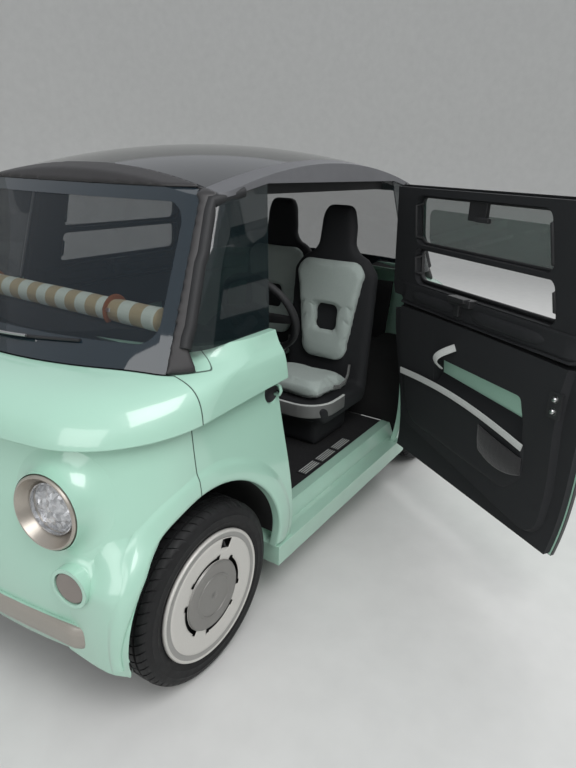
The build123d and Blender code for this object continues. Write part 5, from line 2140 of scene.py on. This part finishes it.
@dataclass
class Underbody:
    """What shows under the car and through the wheel arches."""

    def build(self) -> None:
        """Dress the chassis, axles and heavy masses."""
        for node in ("chassis_frame", "front_suspension", "rear_axle", "knuckle_left", "knuckle_right"):
            dress_node(node, BLACK_STEEL)
        dress_node("battery_pack", CASE_GREY)
        dress_node("drive_motor", CASE_GREY)


@dataclass
class Studio:
    """Pale floor that curves up into a backdrop, soft lights and the camera."""

    eye: tuple[float, float, float] = (1.90096, 1.59566, 1.46810)
    yaw: float = 3.71865882
    pitch: float = 0.363755047
    roll: float = 0.0282889569
    lens: float = 27.155
    floor_radius: float = 9.0
    floor_curve: float = 2.0
    wall: float = 5.0
    aim: tuple[float, float, float] = (0.0, 0.0, 0.6)
    lamp_size: float = 3.0
    lamps: tuple[tuple[str, Point, float], ...] = (   # name, place, power in watts
        ("key", (1.6, 3.2, 4.6), 150.0), ("fill", (5.2, 1.2, 2.6), 62.0), ("back", (-4.5, 0.5, 4.0), 80.0))
    sky: tuple[float, float, float, float] = (0.93, 0.96, 1.0, 1.0)
    sky_strength: float = 0.5

    def add(self, name: str, data: bpy.types.ID) -> bpy.types.Object:
        """Put a new object in the scene.

        Args:
            name: its name.
            data: its mesh, light or camera.

        Returns:
            The object.
        """
        thing = bpy.data.objects.new(name, data)
        bpy.context.scene.collection.objects.link(thing)
        return thing

    def floor(self) -> None:
        """Round floor with a curved rise at its edge."""
        curve, level = self.floor_curve, -0.0005
        flat = self.floor_radius - curve
        profile = [(0.001, level), (2.0, level), (5.0, level), (flat, level)]
        profile.extend((flat + curve * math.sin(a), curve - curve * math.cos(a))
                       for a in (math.pi / 2 * t for t in shares(12)[1:]))
        profile.append((self.floor_radius, self.wall))
        shape = Shape().lathe(profile, 96)
        mesh = bpy.data.meshes.new("studio_floor")
        mesh.from_pydata([point + ORIGIN for point in shape.points], [], shape.faces)
        mesh.polygons.foreach_set("use_smooth", [True] * len(mesh.polygons))
        mesh.materials.append(material_of(FLOOR_PALE))
        self.add("studio_floor", mesh)

    def light(self) -> None:
        """Square soft lights that face the car, and an even sky."""
        for name, place, power in self.lamps:
            data = bpy.data.lights.new(name, "AREA")
            data.size = self.lamp_size
            data.energy = power
            lamp = self.add(name, data)
            lamp.location = ORIGIN + Vector(place)
            lamp.rotation_euler = (Vector(self.aim) - Vector(place)).to_track_quat("-Z", "Y").to_euler()
        world = bpy.data.worlds.new("studio")
        world.use_nodes = True
        background = world.node_tree.nodes["Background"]
        background.inputs["Color"].default_value = self.sky
        background.inputs["Strength"].default_value = self.sky_strength
        bpy.context.scene.world = world

    def camera(self) -> None:
        """Camera at the photograph's place."""
        data = bpy.data.cameras.new("camera")
        data.lens = self.lens
        ahead = Vector((math.cos(self.yaw) * math.cos(self.pitch), math.sin(self.yaw) * math.cos(self.pitch),
                        -math.sin(self.pitch)))
        right = Vector((math.sin(self.yaw), -math.cos(self.yaw), 0))
        up = right.cross(ahead)
        tilted_right = right * math.cos(self.roll) + up * math.sin(self.roll)
        tilted_up = up * math.cos(self.roll) - right * math.sin(self.roll)
        turn = Matrix((tilted_right, tilted_up, -ahead)).transposed().to_4x4()
        camera = self.add("camera", data)
        camera.matrix_world = Matrix.Translation(ORIGIN + Vector(self.eye)) @ turn
        bpy.context.scene.camera = camera

    def build(self) -> None:
        """Set the floor, lights, world and camera."""
        self.floor()
        self.light()
        bpy.context.scene.view_settings.view_transform = "Standard"
        self.camera()


def main() -> None:
    """Build the sub-assemblies in order."""
    logging.basicConfig(level=logging.INFO, format="%(message)s", stream=sys.stdout)
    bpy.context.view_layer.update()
    parts = (Studio(), BodyShell(), Greenhouse(), Lamps(), RoadWheel(), Door(Side.LEFT), Door(Side.RIGHT),
             Mirrors(), Steering(), Cabin(), Wiper(), Underbody())
    for part in parts:
        part.build()


if __name__ == "__main__":
    main()
